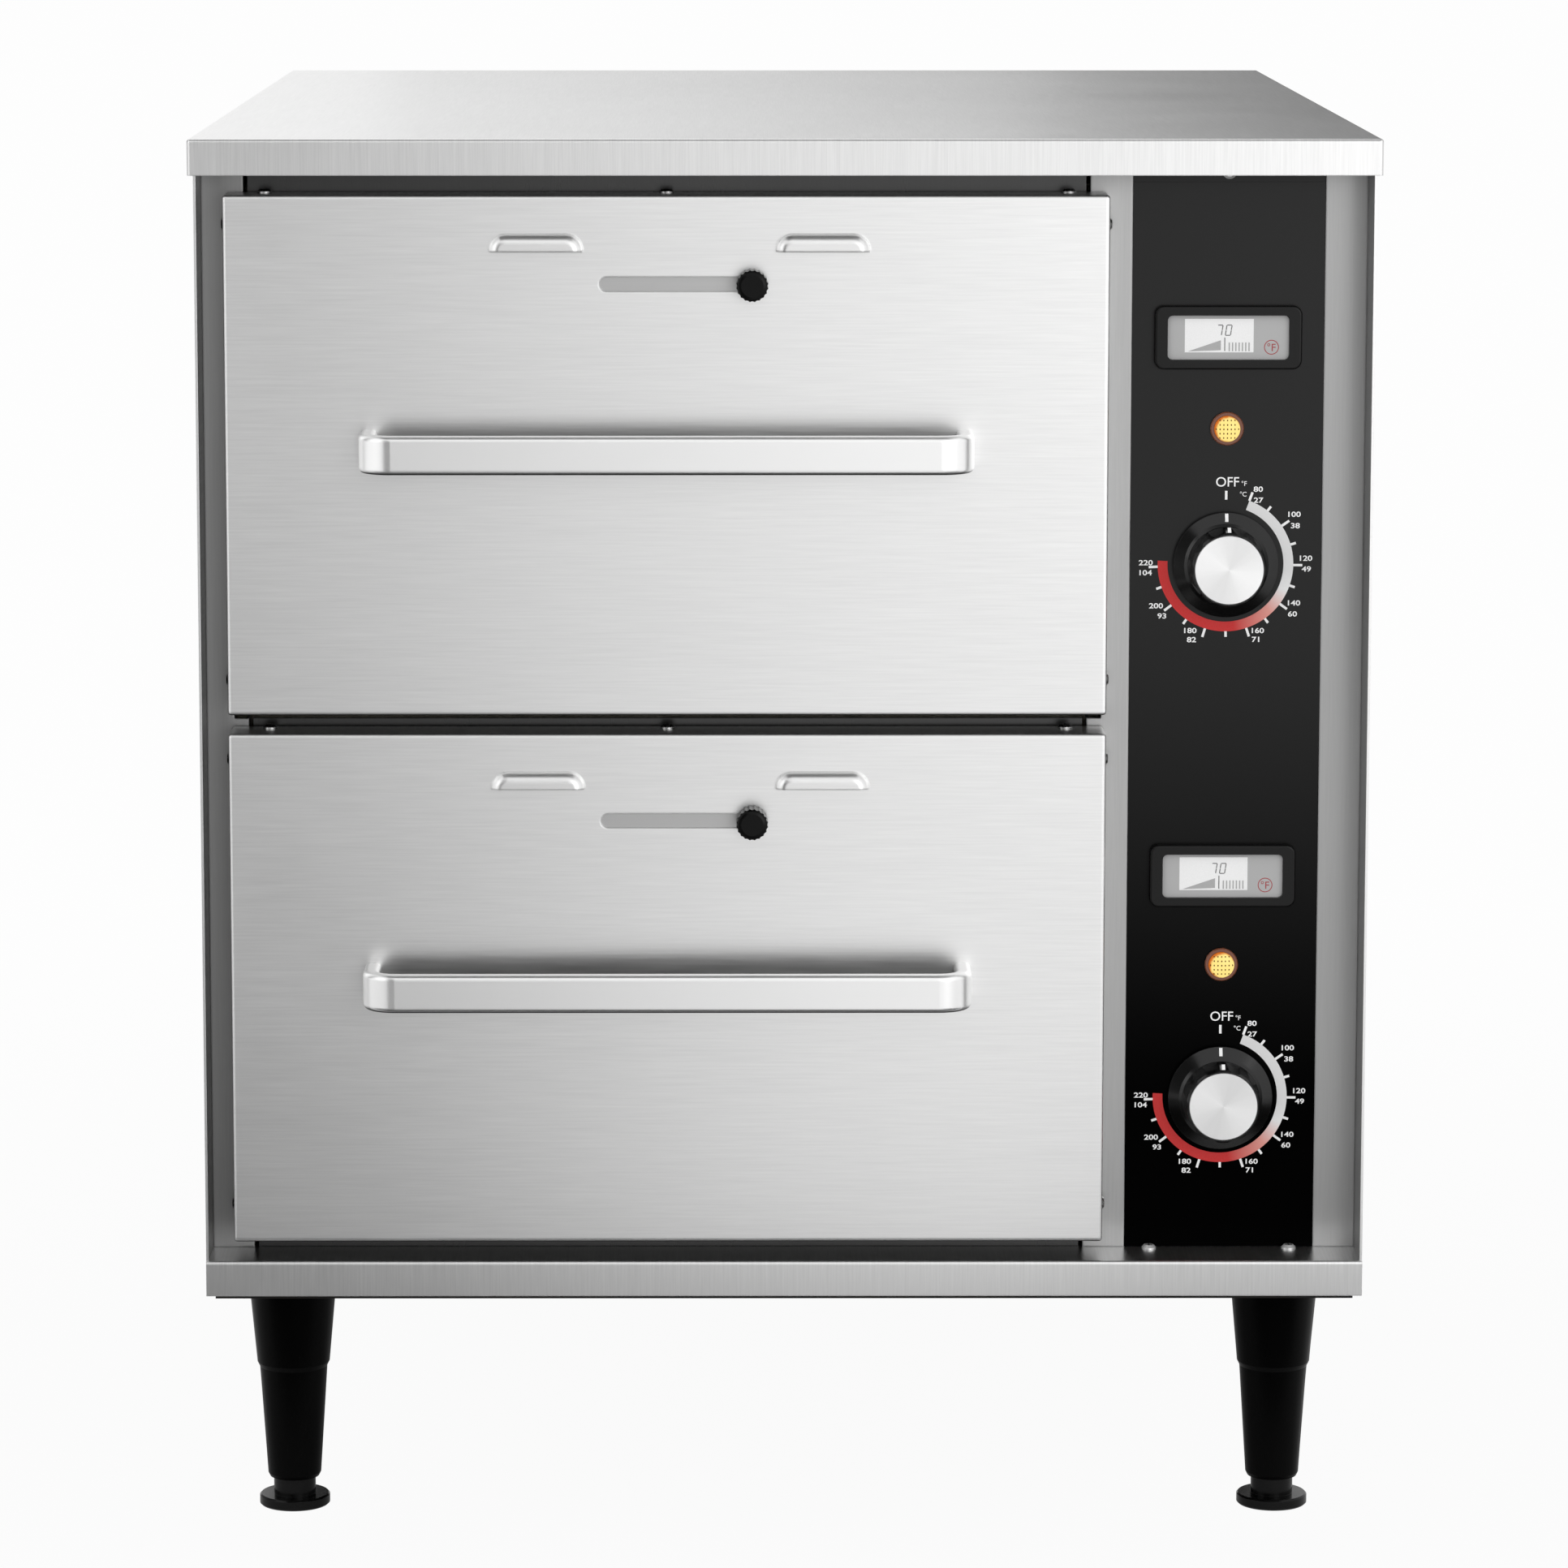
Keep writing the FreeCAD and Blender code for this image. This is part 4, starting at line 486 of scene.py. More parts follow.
@dataclass(frozen=True)
class SpunCap(Finish):
    """Aluminium disc turned on a lathe, with fine rings and a painted bow-tie highlight in its colour."""

    centre: tuple[float, float] = (0.0, 0.0)
    tone: float = 0.86
    tone_span: tuple[float, float] = (0.84, 1.1)
    shares: tuple[float, float, float] = (0.6, 0.25, 0.15)
    metallic: float = 0.75
    roughness: float = 0.3
    ring_gloss: float = 0.12
    rings_per_metre: float = 5200.0
    ring_depth: float = 0.000006
    ring_drift: float = 0.8
    painted_sheen_turn: float = 0.9
    spokes: float = 3.0
    edge: float = 0.0002

    def shade(self, bench: Bench) -> None:
        """Rings by distance, and a painted highlight by angle from the centre of the disc."""
        x, _, z = bench.parts(bench.place())
        right = x - self.centre[0]
        up = z - self.centre[1]
        angle = bench.maths("ARCTAN2", up, right)
        ring_place = bench.vector(bench.far(right, up) * self.rings_per_metre, angle * self.ring_drift, 0.0)
        rings = bench.noise(ring_place, 1.0, 3.0)
        # Painted highlight: a bow-tie of light and dark by angle, laid into the base colour.
        painted_sheen = bench.maths("COSINE", angle * 2.0 + self.painted_sheen_turn) * 0.5 + 0.5
        round_place = (bench.maths(way, angle) * self.spokes for way in ("COSINE", "SINE"))
        rays = bench.noise(bench.vector(*round_place, 0.0))
        share = painted_sheen * self.shares[0] + rays * self.shares[1] + rings * self.shares[2]
        tones = (scaled(grey(self.tone), part) for part in self.tone_span)
        bench.surface(
            {
                "Base Color": bench.blend(share, *tones),
                "Metallic": self.metallic,
                "Roughness": self.roughness + rings * self.ring_gloss,
                "Normal": bench.bump(rings, self.ring_depth, 1.0, self.edge),
            }
        )


@dataclass(frozen=True)
class Ink(Finish):
    """Screen-printed ink, a little uneven in cover; also laid flat as painted shade in screw recesses and on
    lens dimples.
    """

    colour: Colour = grey(0.85)
    roughness: float = 0.5
    worn: float = 0.9
    mottle_per_metre: float = 1500.0
    gloss_swing: float = 0.12
    specular: float = 0.15

    def shade(self, bench: Bench) -> None:
        """Mottle the ink slightly."""
        mottle = bench.noise(bench.place(), self.mottle_per_metre, 3.0)
        bench.surface(
            {
                "Base Color": bench.blend(mottle, scaled(self.colour, self.worn), self.colour),
                "Roughness": self.roughness - self.gloss_swing / 2 + mottle * self.gloss_swing,
                "Specular IOR Level": self.specular,
            }
        )


@dataclass(frozen=True)
class ScaleInk(Finish):
    """Ink of the dial band: white at the cool end, red at the hot end."""

    cool: Colour = grey(0.8)
    hot: Colour = (0.6, 0.022, 0.022, 1.0)
    blush: Colour = (0.82, 0.35, 0.3, 1.0)
    worn: Colour = grey(0.3)
    wear: float = 0.12
    mottle_per_metre: float = 1300.0
    roughness: float = 0.42
    gloss_swing: float = 0.1
    specular: float = 0.15

    def shade(self, bench: Bench) -> None:
        """Colour the band by its turn attribute."""
        turn = bench.add("ShaderNodeAttribute", {"attribute_name": "turn"}, None, "Fac")
        stops = (
            (0.0, grey(0.72)),
            (0.3, self.cool),
            (0.37, grey(0.9)),
            (0.46, self.blush),
            (0.6, self.hot),
            (1.0, self.hot),
        )
        band = bench.add("ShaderNodeValToRGB", {"stops": stops}, {"Fac": turn}, "Color")
        mottle = bench.noise(bench.place(), self.mottle_per_metre, 3.0)
        bench.surface(
            {
                "Base Color": bench.blend(mottle * self.wear, band, self.worn),
                "Roughness": self.roughness + mottle * self.gloss_swing,
                "Specular IOR Level": self.specular,
            }
        )


@dataclass(frozen=True)
class LampGlow(Finish):
    """Amber lens with a neon lamp glowing behind it."""

    middle: Colour = (0.97, 0.75, 0.235, 1.0)
    rim: Colour = (0.36, 0.085, 0.006, 1.0)
    glow: float = 0.95
    cover: float = 0.15
    clouds_per_metre: float = 420.0
    unevenness: float = 0.25
    rim_span: tuple[float, float] = (0.84, 1.06)
    roughness: float = 0.16
    rim_gloss: float = 0.1
    specular: float = 0.25

    def shade(self, bench: Bench) -> None:
        """Colour and glow by the reach attribute, 0 at the middle and 1 at the rim."""
        reach = bench.add("ShaderNodeAttribute", {"attribute_name": "reach"}, None, "Fac")
        uneven = (bench.noise(bench.place(), self.clouds_per_metre, 2.0) - 0.5) * self.unevenness
        share = bench.smooth(reach + uneven, *self.rim_span)
        colour = bench.blend(share, self.middle, self.rim)
        # Here the name holds the lens's own colour where it is unlit, not painted shade.
        painted_shade_and_unlit_lens = scaled(self.middle, self.cover)
        bench.surface(
            {
                "Base Color": bench.blend(share, painted_shade_and_unlit_lens, self.rim),
                "Roughness": self.roughness + share * self.rim_gloss,
                "Emission Color": colour,
                "Emission Strength": self.glow,
                "Specular IOR Level": self.specular,
            }
        )


@dataclass(frozen=True)
class Fibre(Finish):
    """Wool board or quilt."""

    colour: Colour = (0.62, 0.58, 0.48, 1.0)
    dark: float = 0.55
    strands_per_metre: tuple[float, float, float] = (420.0, 420.0, 90.0)
    strand_depth: float = 0.0006
    roughness: float = 0.85
    gloss_swing: float = 0.1

    def shade(self, bench: Bench) -> None:
        """Tangled fibres as stretched noise."""
        place = bench.stretched(bench.place(), self.strands_per_metre)
        strands = bench.noise(place, 1.0, 5.0, 0.7)
        bench.surface(
            {
                "Base Color": bench.blend(strands, scaled(self.colour, self.dark), self.colour),
                "Roughness": self.roughness + strands * self.gloss_swing,
                "Normal": bench.bump(strands, self.strand_depth),
            }
        )


@dataclass(frozen=True)
class HotMetal(Finish):
    """Metal that has been hot: straw and blue-grey clouds over a drawn surface."""

    tone: float = 0.2
    roughness: float = 0.42
    straw: Colour = (1.15, 0.98, 0.78, 1.0)
    blue: Colour = (0.8, 0.86, 0.98, 1.0)
    clouds_per_metre: float = 30.0
    grain_per_metre: float = 900.0
    grain_depth: float = 0.00002
    gloss_swing: float = 0.15

    def shade(self, bench: Bench) -> None:
        """Clouds of tint and a drawn grain."""
        place = bench.place()
        cloud = bench.noise(place, self.clouds_per_metre, 3.0)
        grain = bench.noise(place, self.grain_per_metre, 2.0)
        tints = (scaled(tint, self.tone) for tint in (self.straw, self.blue))
        bench.surface(
            {
                "Base Color": bench.blend(cloud, *tints),
                "Metallic": 1.0,
                "Roughness": self.roughness + grain * self.gloss_swing,
                "Normal": bench.bump(grain, self.grain_depth),
            }
        )


DOWN = (0.0, 0.0, -1.0)
FRONT = (0.0, -1.0, 0.0)
BACK = (0.0, 1.0, 0.0)
LEFT = (-1.0, 0.0, 0.0)
RIGHT = (1.0, 0.0, 0.0)
# Painted shade: outer sides and backs of the folded steel are toned darker than the fronts, and faces that
# look down nearly black.
PAINTED_SIDE_SHADE = 0.66
FOLDED_PAINTED_SHADE = ((DOWN, 0.05), (LEFT, PAINTED_SIDE_SHADE), (RIGHT, PAINTED_SIDE_SHADE), (BACK, PAINTED_SIDE_SHADE))
# Painted shade: the drawer faces that look down are toned nearly black.
DRAWER_STEEL = BrushedSteel(
    "drawer_steel", Grain.ACROSS, tone=0.97, contrast=0.2, edge=0.0013, painted_shade_and_unlit_lens=((DOWN, 0.05),)
)
COVER_STEEL = BrushedSteel(
    "cover_steel", Grain.WRAPPED, tone=0.84, contrast=0.18, lines_per_metre=1500.0, painted_shade_and_unlit_lens=FOLDED_PAINTED_SHADE
)
BASE_STEEL = BrushedSteel("base_steel", Grain.WRAPPED, tone=0.88, contrast=0.22, painted_shade_and_unlit_lens=FOLDED_PAINTED_SHADE)
# Painted shade: the low tones of the stiles and divider stand for the shade of their recess beside the
# drawers.
CENTRE_STEEL = BrushedSteel("centre_stile_steel", Grain.UPRIGHT, tone=0.46, roughness=0.38, edge=0.0012)
STILE_STEEL = BrushedSteel("side_stile_steel", Grain.UPRIGHT, tone=0.4, roughness=0.38, edge=0.0012)
# Painted shade: the side panels' inner faces, seen in the recess beside the stiles, are toned dark, and their
# outer faces get the painted side shade.
LEFT_STEEL = BrushedSteel(
    "left_side_steel", Grain.DEPTH, edge=0.0003, painted_shade_and_unlit_lens=((RIGHT, 0.03), (LEFT, PAINTED_SIDE_SHADE))
)
RIGHT_STEEL = BrushedSteel(
    "right_side_steel", Grain.DEPTH, edge=0.0003, painted_shade_and_unlit_lens=((LEFT, 0.4), (RIGHT, PAINTED_SIDE_SHADE))
)
REAR_STEEL = BrushedSteel("rear_steel", Grain.ACROSS, tone=0.72, roughness=0.36)
# Painted shade: the liner's low tone and its near-black front-facing flange stand for the shade in the gaps
# round the drawers.
LINER_STEEL = BrushedSteel("liner_steel", Grain.WRAPPED, 0.34, 0.28, contrast=0.1, painted_shade_and_unlit_lens=((FRONT, 0.08),))
# Painted shade: the handle's underside and back are toned nearly black, which also darkens its mirror image
# in the drawer front above it.
HANDLE_STEEL = BrushedSteel(
    "handle_steel", Grain.ACROSS, 0.98, 0.3, 0.000001, 0.01, painted_shade_and_unlit_lens=((DOWN, 0.02), (BACK, 0.06))
)
PAN_STEEL = BrushedSteel("pan_steel", Grain.ACROSS, tone=0.74, roughness=0.24, contrast=0.08)
RUNNER_STEEL = BrushedSteel("runner_steel", Grain.DEPTH, tone=0.58, roughness=0.34)
SCREW_STEEL = BrushedSteel("screw_steel", Grain.DEPTH, tone=0.66, roughness=0.25, contrast=0.05)
SHUTTER_STEEL = BrushedSteel("shutter_steel", Grain.ACROSS, tone=0.56, roughness=0.38, contrast=0.06)
# The bottom plate is toned nearly black, far darker than a heat tint, so that it shows as a black line under
# the base lip.
DARK_STEEL = HotMetal("dark_steel", 0.03, 0.5)
ELEMENT_SHEATH = HotMetal("element_sheath", 0.22, 0.45)
CABINET_SCREWS = PlatedScrews("cabinet_screws")
PANEL_SHEEN = {"specular": 0.01, "coat": 0.66, "coat_roughness": 0.3, "coat_rise": (0.19, 0.49)}
PANEL_PAINT = Moulding("panel_paint", grey(0.0004), 0.42, **PANEL_SHEEN)
OVERLAY_FILM = Moulding("overlay_film", grey(0.0004), 0.26, 0.08, 3200.0, 0.000006, **PANEL_SHEEN)
BEZEL_PLASTIC = Moulding("bezel_plastic", grey(0.004), 0.3, specular=0.24)
KNOB_PLASTIC = Moulding("knob_plastic", grey(0.002), 0.17, specular=0.5)
VENT_PLASTIC = Moulding("vent_plastic", grey(0.002), 0.24, specular=0.14)
LEG_PLASTIC = Moulding("leg_plastic", grey(0.0006), 0.3, specular=0.06)
FOOT_PLASTIC = Moulding("foot_plastic", grey(0.0015), 0.2, specular=0.2)
GLAND_PLASTIC = Moulding("gland_plastic", grey(0.01), 0.4)
NYLON = Moulding("roller_nylon", (0.7, 0.69, 0.64, 1.0), 0.42, 0.05)
TERMINAL_PLASTIC = Moulding("terminal_plastic", (0.62, 0.58, 0.48, 1.0), 0.5, 0.06)
THERMOSTAT_CASE = Moulding("thermostat_case", (0.2, 0.17, 0.14, 1.0), 0.45)
LAMP_RIM = Moulding("lamp_rim", (0.15, 0.045, 0.02, 1.0), 0.22, 0.2, coat=0.4)
DISPLAY_GREY = Moulding("display_grey", grey(0.41), 0.3, 0.05, specular=0.3, edge=0.0)
# Painted shade: the dimples' dark amber stands for the darker look that the lens's prism dimples have against
# the glow.
LENS_DIMPLE = Ink("lens_dimple", (0.12, 0.045, 0.006, 1.0), 0.5)
WHITE_INK = Ink("white_ink", grey(0.92))
CRYSTAL_LIGHT = Ink("crystal_light", grey(0.88), 0.3)
CRYSTAL_SHADE = Ink("crystal_shade", grey(0.42), 0.34)
CRYSTAL_DARK = Ink("crystal_dark", grey(0.12), 0.34)
RED_INK = Ink("red_ink", (0.38, 0.07, 0.075, 1.0))
# Painted shade: the cross recesses are coloured near black to stand for the shade inside them.
RECESS_PAINTED_SHADE = Ink("recess_painted_shade", grey(0.02), 0.6)
SCALE_INK = ScaleInk("scale_ink")
LAMP_GLOW = LampGlow("lamp_glow")
WOOL = Fibre("wool")


def report(piece: bpy.types.Object, body: str) -> None:
    """Log a finished piece."""
    LOG.info("%s: %d faces on %s", piece.name, len(piece.data.polygons), body)


def settle(
    name: str,
    mesh: bpy.types.Mesh,
    body: str,
    finish: Finish | None,
    replaces: Sequence[str] = (),
) -> bpy.types.Object:
    """Turn a mesh that lies in its place into a piece of the part.

    Args:
        name: Name of the piece.
        mesh: Its mesh, in metres in the common frame.
        body: The body that it rides on.
        finish: Its finish, or None where the mesh has its material.
        replaces: Nodes that it stands for.

    Returns:
        The new object.
    """
    mesh.name = name
    piece = placed(name, mesh)
    if finish:
        mesh.materials.clear()
        mesh.materials.append(finish.material())
    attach(piece, body)
    if replaces:
        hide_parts(*replaces)
    report(piece, body)
    return piece


class Mould:
    """A mesh that is put together from simple forms."""

    def __init__(self) -> None:
        """Start empty."""
        self.bm = bmesh.new()

    def plate(self, outline: Sequence[tuple[float, float]], face: float, thick: float) -> None:
        """Add a flat plate that faces the front.

        Args:
            outline: Corners (x, z), counter-clockwise seen from the front.
            face: Level of its front along Y.
            thick: Thickness behind the front.
        """
        front = [self.bm.verts.new((x, face, z)) for x, z in outline]
        back = [self.bm.verts.new((x, face + thick, z)) for x, z in outline]
        self.bm.faces.new(front)
        self.bm.faces.new(back[::-1])
        for i, start in enumerate(front):
            j = (i + 1) % len(front)
            self.bm.faces.new((start, back[i], back[j], front[j]))

    def strip(self, rows: Sequence[tuple[Vector, Vector]], lift: Vector) -> None:
        """Add a thin bar that follows a surface.

        Args:
            rows: Pairs of points across the bar, on the surface.
            lift: How far the bar's outside stands off the surface.
        """
        over = [[self.bm.verts.new(p + lift) for p in row] for row in rows]
        under = [[self.bm.verts.new(p - lift) for p in row] for row in rows]
        for i in range(len(rows) - 1):
            self.bm.faces.new((over[i][0], over[i][1], over[i + 1][1], over[i + 1][0]))
            self.bm.faces.new((under[i][0], under[i + 1][0], under[i + 1][1], under[i][1]))
            self.bm.faces.new((over[i][0], over[i + 1][0], under[i + 1][0], under[i][0]))
            self.bm.faces.new((over[i][1], under[i][1], under[i + 1][1], over[i + 1][1]))
        for end in (0, -1):
            self.bm.faces.new((over[end][0], under[end][0], under[end][1], over[end][1]))

    def mesh(self, other: bpy.types.Mesh, matrix: Matrix) -> None:
        """Add another mesh, moved by a matrix."""
        other.transform(matrix)
        self.bm.from_mesh(other)
        bpy.data.meshes.remove(other)

    def done(self, smooth: bool = False) -> bpy.types.Mesh:
        """Close the mould.

        Args:
            smooth: Whether curved faces are shaded smooth.

        Returns:
            The finished mesh, with its faces outwards.
        """
        bmesh.ops.recalc_face_normals(self.bm, faces=self.bm.faces)
        mesh = bpy.data.meshes.new("mould")
        self.bm.to_mesh(mesh)
        self.bm.free()
        mesh.polygons.foreach_set("use_smooth", [smooth] * len(mesh.polygons))
        return mesh


def lettering(text: str, height: float, bold: float = 0.0) -> bpy.types.Mesh:
    """Letters about the origin, upright in X and Z and facing the front.

    Args:
        text: What is printed.
        height: Height of the letters.
        bold: How much the strokes are fattened, as a share of the height.

    Returns:
        A thin closed mesh.
    """
    curve = bpy.data.curves.new("letters", "FONT")
    curve.body = text
    curve.align_x = "CENTER"
    curve.align_y = "CENTER"
    curve.size = 1.0
    curve.offset = bold
    curve.extrude = LETTER_DEPTH
    curve.resolution_u = LETTER_STEPS
    holder = placed("letters", curve)
    mesh = cast_mesh(holder)
    bpy.data.objects.remove(holder)
    bpy.data.curves.remove(curve)
    xs = [v.co.x for v in mesh.vertices]
    ys = [v.co.y for v in mesh.vertices]
    middle = Vector(((min(xs) + max(xs)) / 2, (min(ys) + max(ys)) / 2, 0.0))
    scale = height / (max(ys) - min(ys))
    mesh.transform(
        Matrix.Rotation(math.pi / 2, 4, "X") @ Matrix.Scale(scale, 4) @ Matrix.Translation(-middle)
    )
    return mesh


class Pattern:
    """A geometry tree with named inputs that is cast into a plain mesh."""

    def __init__(self, name: str, *numbers: str) -> None:
        """Open the tree.

        Args:
            name: Name of the tree.
            numbers: Names of the inputs that are plain numbers.
        """
        self.tree = bpy.data.node_groups.new(name, "GeometryNodeTree")
        face = self.tree.interface
        inputs = {"Geometry": "Geometry", "Finish": "Material", "Count": "Int", "Centre": "Vector"}
        for title, kind in {**inputs, **dict.fromkeys(numbers, "Float")}.items():
            face.new_socket(title, in_out="INPUT", socket_type=f"NodeSocket{kind}")
        face.new_socket("Geometry", in_out="OUTPUT", socket_type="NodeSocketGeometry")
        self.bench = Bench(self.tree)
        self.entry = self.tree.nodes.new("NodeGroupInput")

    def given(self, title: str) -> Wire:
        """The wire of a named input."""
        return Wire(self.bench, self.entry.outputs[title])

    def set_bars(self, spot: Wire, turn: Wire | float = 0.0) -> None:
        """End the tree in a number of bars, Width by Thickness by Length.

        Args:
            spot: Where each bar goes, seen from the centre.
            turn: How far each bar is turned about Y.
        """
        points = self.bench.add("GeometryNodePoints", None, {"Count": self.given("Count"), "Position": spot})
        size = self.bench.vector(self.given("Width"), self.given("Thickness"), self.given("Length"))
        bar = self.bench.add("GeometryNodeMeshCube", None, {"Size": size}, "Mesh")
        sockets = {"Points": points, "Instance": bar, "Rotation": self.bench.vector(0.0, turn, 0.0)}
        self.close(self.bench.add("GeometryNodeInstanceOnPoints", None, sockets))

    def close(self, geometry: Wire) -> None:
        """End the tree in real faces about the centre that carry their finish."""
        moved = self.bench.add(
            "GeometryNodeTransform", None, {"Geometry": geometry, "Translation": self.given("Centre")}
        )
        real = self.bench.add("GeometryNodeRealizeInstances", None, {"Geometry": moved})
        dressed = self.bench.add(
            "GeometryNodeSetMaterial", None, {"Geometry": real, "Material": self.given("Finish")}
        )
        self.bench.add("NodeGroupOutput", None, {"Geometry": dressed})

    def cast(
        self, values: Mapping[str, object], finish: Finish, start: bpy.types.Mesh | None = None
    ) -> bpy.types.Mesh:
        """Run the tree once.

        Args:
            values: Value by input name.
            finish: Finish of the faces.
            start: Mesh that the tree starts from, if it needs one.

        Returns:
            A plain mesh.
        """
        holder = placed("pattern", start or bpy.data.meshes.new("pattern"))
        modifier = holder.modifiers.new("pattern", "NODES")
        modifier.node_group = self.tree
        names = {s.name: s.identifier for s in self.tree.interface.items_tree if s.in_out == "INPUT"}
        for title, value in {**values, "Finish": finish.material()}.items():
            modifier[names[title]] = value
        mesh = cast_mesh(holder)
        holder.modifiers.remove(modifier)
        bpy.data.objects.remove(holder)
        return mesh


def tick_ring() -> Pattern:
    """A tree for tick marks that stand round a dial."""
    pattern = Pattern("tick_ring", "Radius", "First", "Step", "Length", "Width", "Thickness")
    bench = pattern.bench
    index = bench.add("GeometryNodeInputIndex")
    angle = pattern.given("First") + pattern.given("Step") * index
    far = pattern.given("Radius") + pattern.given("Length") * 0.5
    spot = bench.vector(bench.maths("SINE", angle) * far, 0.0, bench.maths("COSINE", angle) * far)
    pattern.set_bars(spot, angle)
    return pattern


def bar_row() -> Pattern:
    """A tree for upright bars in a row, as on a bar display."""
    pattern = Pattern("bar_row", "Pitch", "Length", "Width", "Thickness")
    index = pattern.bench.add("GeometryNodeInputIndex")
    pattern.set_bars(pattern.bench.vector(pattern.given("Pitch") * index, 0.0, 0.0))
    return pattern


def dimple_field() -> Pattern:
    """A tree for rows of small dimples over a round domed lens."""
    numbers = ("Pitch", "Row Pitch", "Lens Radius", "Dome", "Dimple Width", "Dimple Height")
    pattern = Pattern("dimple_field", *numbers)
    bench = pattern.bench
    columns, rows = DIMPLE_GRID
    sockets = {
        "Size X": pattern.given("Pitch") * (columns - 1.0),
        "Size Y": pattern.given("Row Pitch") * (rows - 1.0),
        "Vertices X": columns,
        "Vertices Y": rows,
    }
    grid = bench.add("GeometryNodeMeshGrid", None, sockets, "Mesh")
    x, y, _ = bench.parts(bench.add("GeometryNodeInputPosition"))
    share = bench.far(x, y) / pattern.given("Lens Radius")
    outside = bench.add(
        "FunctionNodeCompare",
        {"data_type": "FLOAT", "operation": "GREATER_THAN"},
        {"A": share, "B": DIMPLE_REACH},
    )
    kept = bench.add("GeometryNodeDeleteGeometry", None, {"Geometry": grid, "Selection": outside})
    rise = (1.0 - share * share) * pattern.given("Dome")
    domed = bench.add(
        "GeometryNodeSetPosition", None, {"Geometry": kept, "Position": bench.vector(x, -rise, y)}
    )
    dimple = bench.add(
        "GeometryNodeMeshUVSphere", None, {"Segments": 8, "Rings": 5, "Radius": 1.0}, "Mesh"
    )
    width = pattern.given("Dimple Width")
    size = bench.vector(width, width * DIMPLE_FLATNESS, pattern.given("Dimple Height"))
    sockets = {"Points": domed, "Instance": dimple, "Scale": size}
    pattern.close(bench.add("GeometryNodeInstanceOnPoints", None, sockets))
    return pattern


def cross_recesses() -> Pattern:
    """A tree for the cross recess of every screw head, set on points with a facing."""
    pattern = Pattern("cross_recesses", "Width", "Length", "Depth")
    bench = pattern.bench
    cross = bench.tree.nodes.new("GeometryNodeJoinGeometry")
    for sides in (("Length", "Width", "Depth"), ("Width", "Length", "Depth")):
        size = bench.vector(*(pattern.given(side) for side in sides))
        bar = bench.add("GeometryNodeMeshCube", None, {"Size": size}, "Mesh")
        bench.tree.links.new(bar.socket, cross.inputs[0])
    facing = bench.add(
        "GeometryNodeInputNamedAttribute", {"data_type": "FLOAT_VECTOR"}, {"Name": "facing"}, "Attribute"
    )
    turn = bench.add("FunctionNodeAlignRotationToVector", {"axis": "Z"}, {"Vector": facing})
    heads = bench.add(
        "GeometryNodeInstanceOnPoints",
        None,
        {"Points": pattern.given("Geometry"), "Instance": Wire(bench, cross.outputs[0]), "Rotation": turn},
    )
    pattern.close(heads)
    return pattern


class Frame:
    """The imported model: its nodes, and finishes laid on them."""

    def __init__(self) -> None:
        """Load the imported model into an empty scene."""
        for item in list(bpy.data.objects):
            bpy.data.objects.remove(item)
        self.nodes: dict[str, bpy.types.Object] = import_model()["nodes"]
        bpy.context.view_layer.update()
        self.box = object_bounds()

    def dress(self, finish: Finish, *nodes: str) -> None:
        """Lay one finish on these nodes."""
        for node in nodes:
            mesh = self.nodes[node].data
            mesh.materials.clear()
            mesh.materials.append(finish.material())
            LOG.info("%s: %s", node, finish.name)

    def middle(self, node: str) -> Vector:
        """Middle of a node's box."""
        low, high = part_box(node)
        return (low + high) / 2

    def probe(self, node: str) -> Callable[[Vector, Vector], Vector]:
        """A function that finds where a line meets a node.

        Args:
            node: The node that is met.

        Returns:
            A function of a start and a direction that gives the point met.
        """
        mesh = self.nodes[node].data
        corners = [v.co.copy() for v in mesh.vertices]
        tree = BVHTree.FromPolygons(corners, [tuple(p.vertices) for p in mesh.polygons])

        def meet(start: Vector, way: Vector) -> Vector:
            """The first point of the node on the line."""
            return tree.ray_cast(start, way)[0]

        return meet


@dataclass
class Cabinet:
    """The steel case, its inside and its legs."""

    frame: Frame

    def dress(self) -> None:
        """Lay the finishes of the case, the cavities and the legs."""
        lay = self.frame.dress
        lay(COVER_STEEL, "top_cover")
        lay(BASE_STEEL, "base_pan")
        lay(LEFT_STEEL, "left_side_panel")
        lay(RIGHT_STEEL, "right_side_panel")
        lay(REAR_STEEL, "rear_panel")
        lay(CENTRE_STEEL, "centre_stile", "compartment_divider")
        lay(STILE_STEEL, "left_stile", "right_stile")
        lay(DARK_STEEL, "bottom_plate")
        lay(LINER_STEEL, *(f"{word}_cavity_liner" for word in DRAWERS))
        lay(WOOL, "cavity_insulation")
        lay(ELEMENT_SHEATH, "heating_elements")
        lay(RUNNER_STEEL, "cabinet_runners")
        lay(CABINET_SCREWS, "cabinet_fasteners")
        lay(THERMOSTAT_CASE, "thermostats")
        lay(TERMINAL_PLASTIC, "terminal_block")
        lay(GLAND_PLASTIC, "cord_gland")
        lay(LEG_PLASTIC, "legs")
        lay(FOOT_PLASTIC, *(f"{corner}_foot" for corner in LEG_CORNERS))


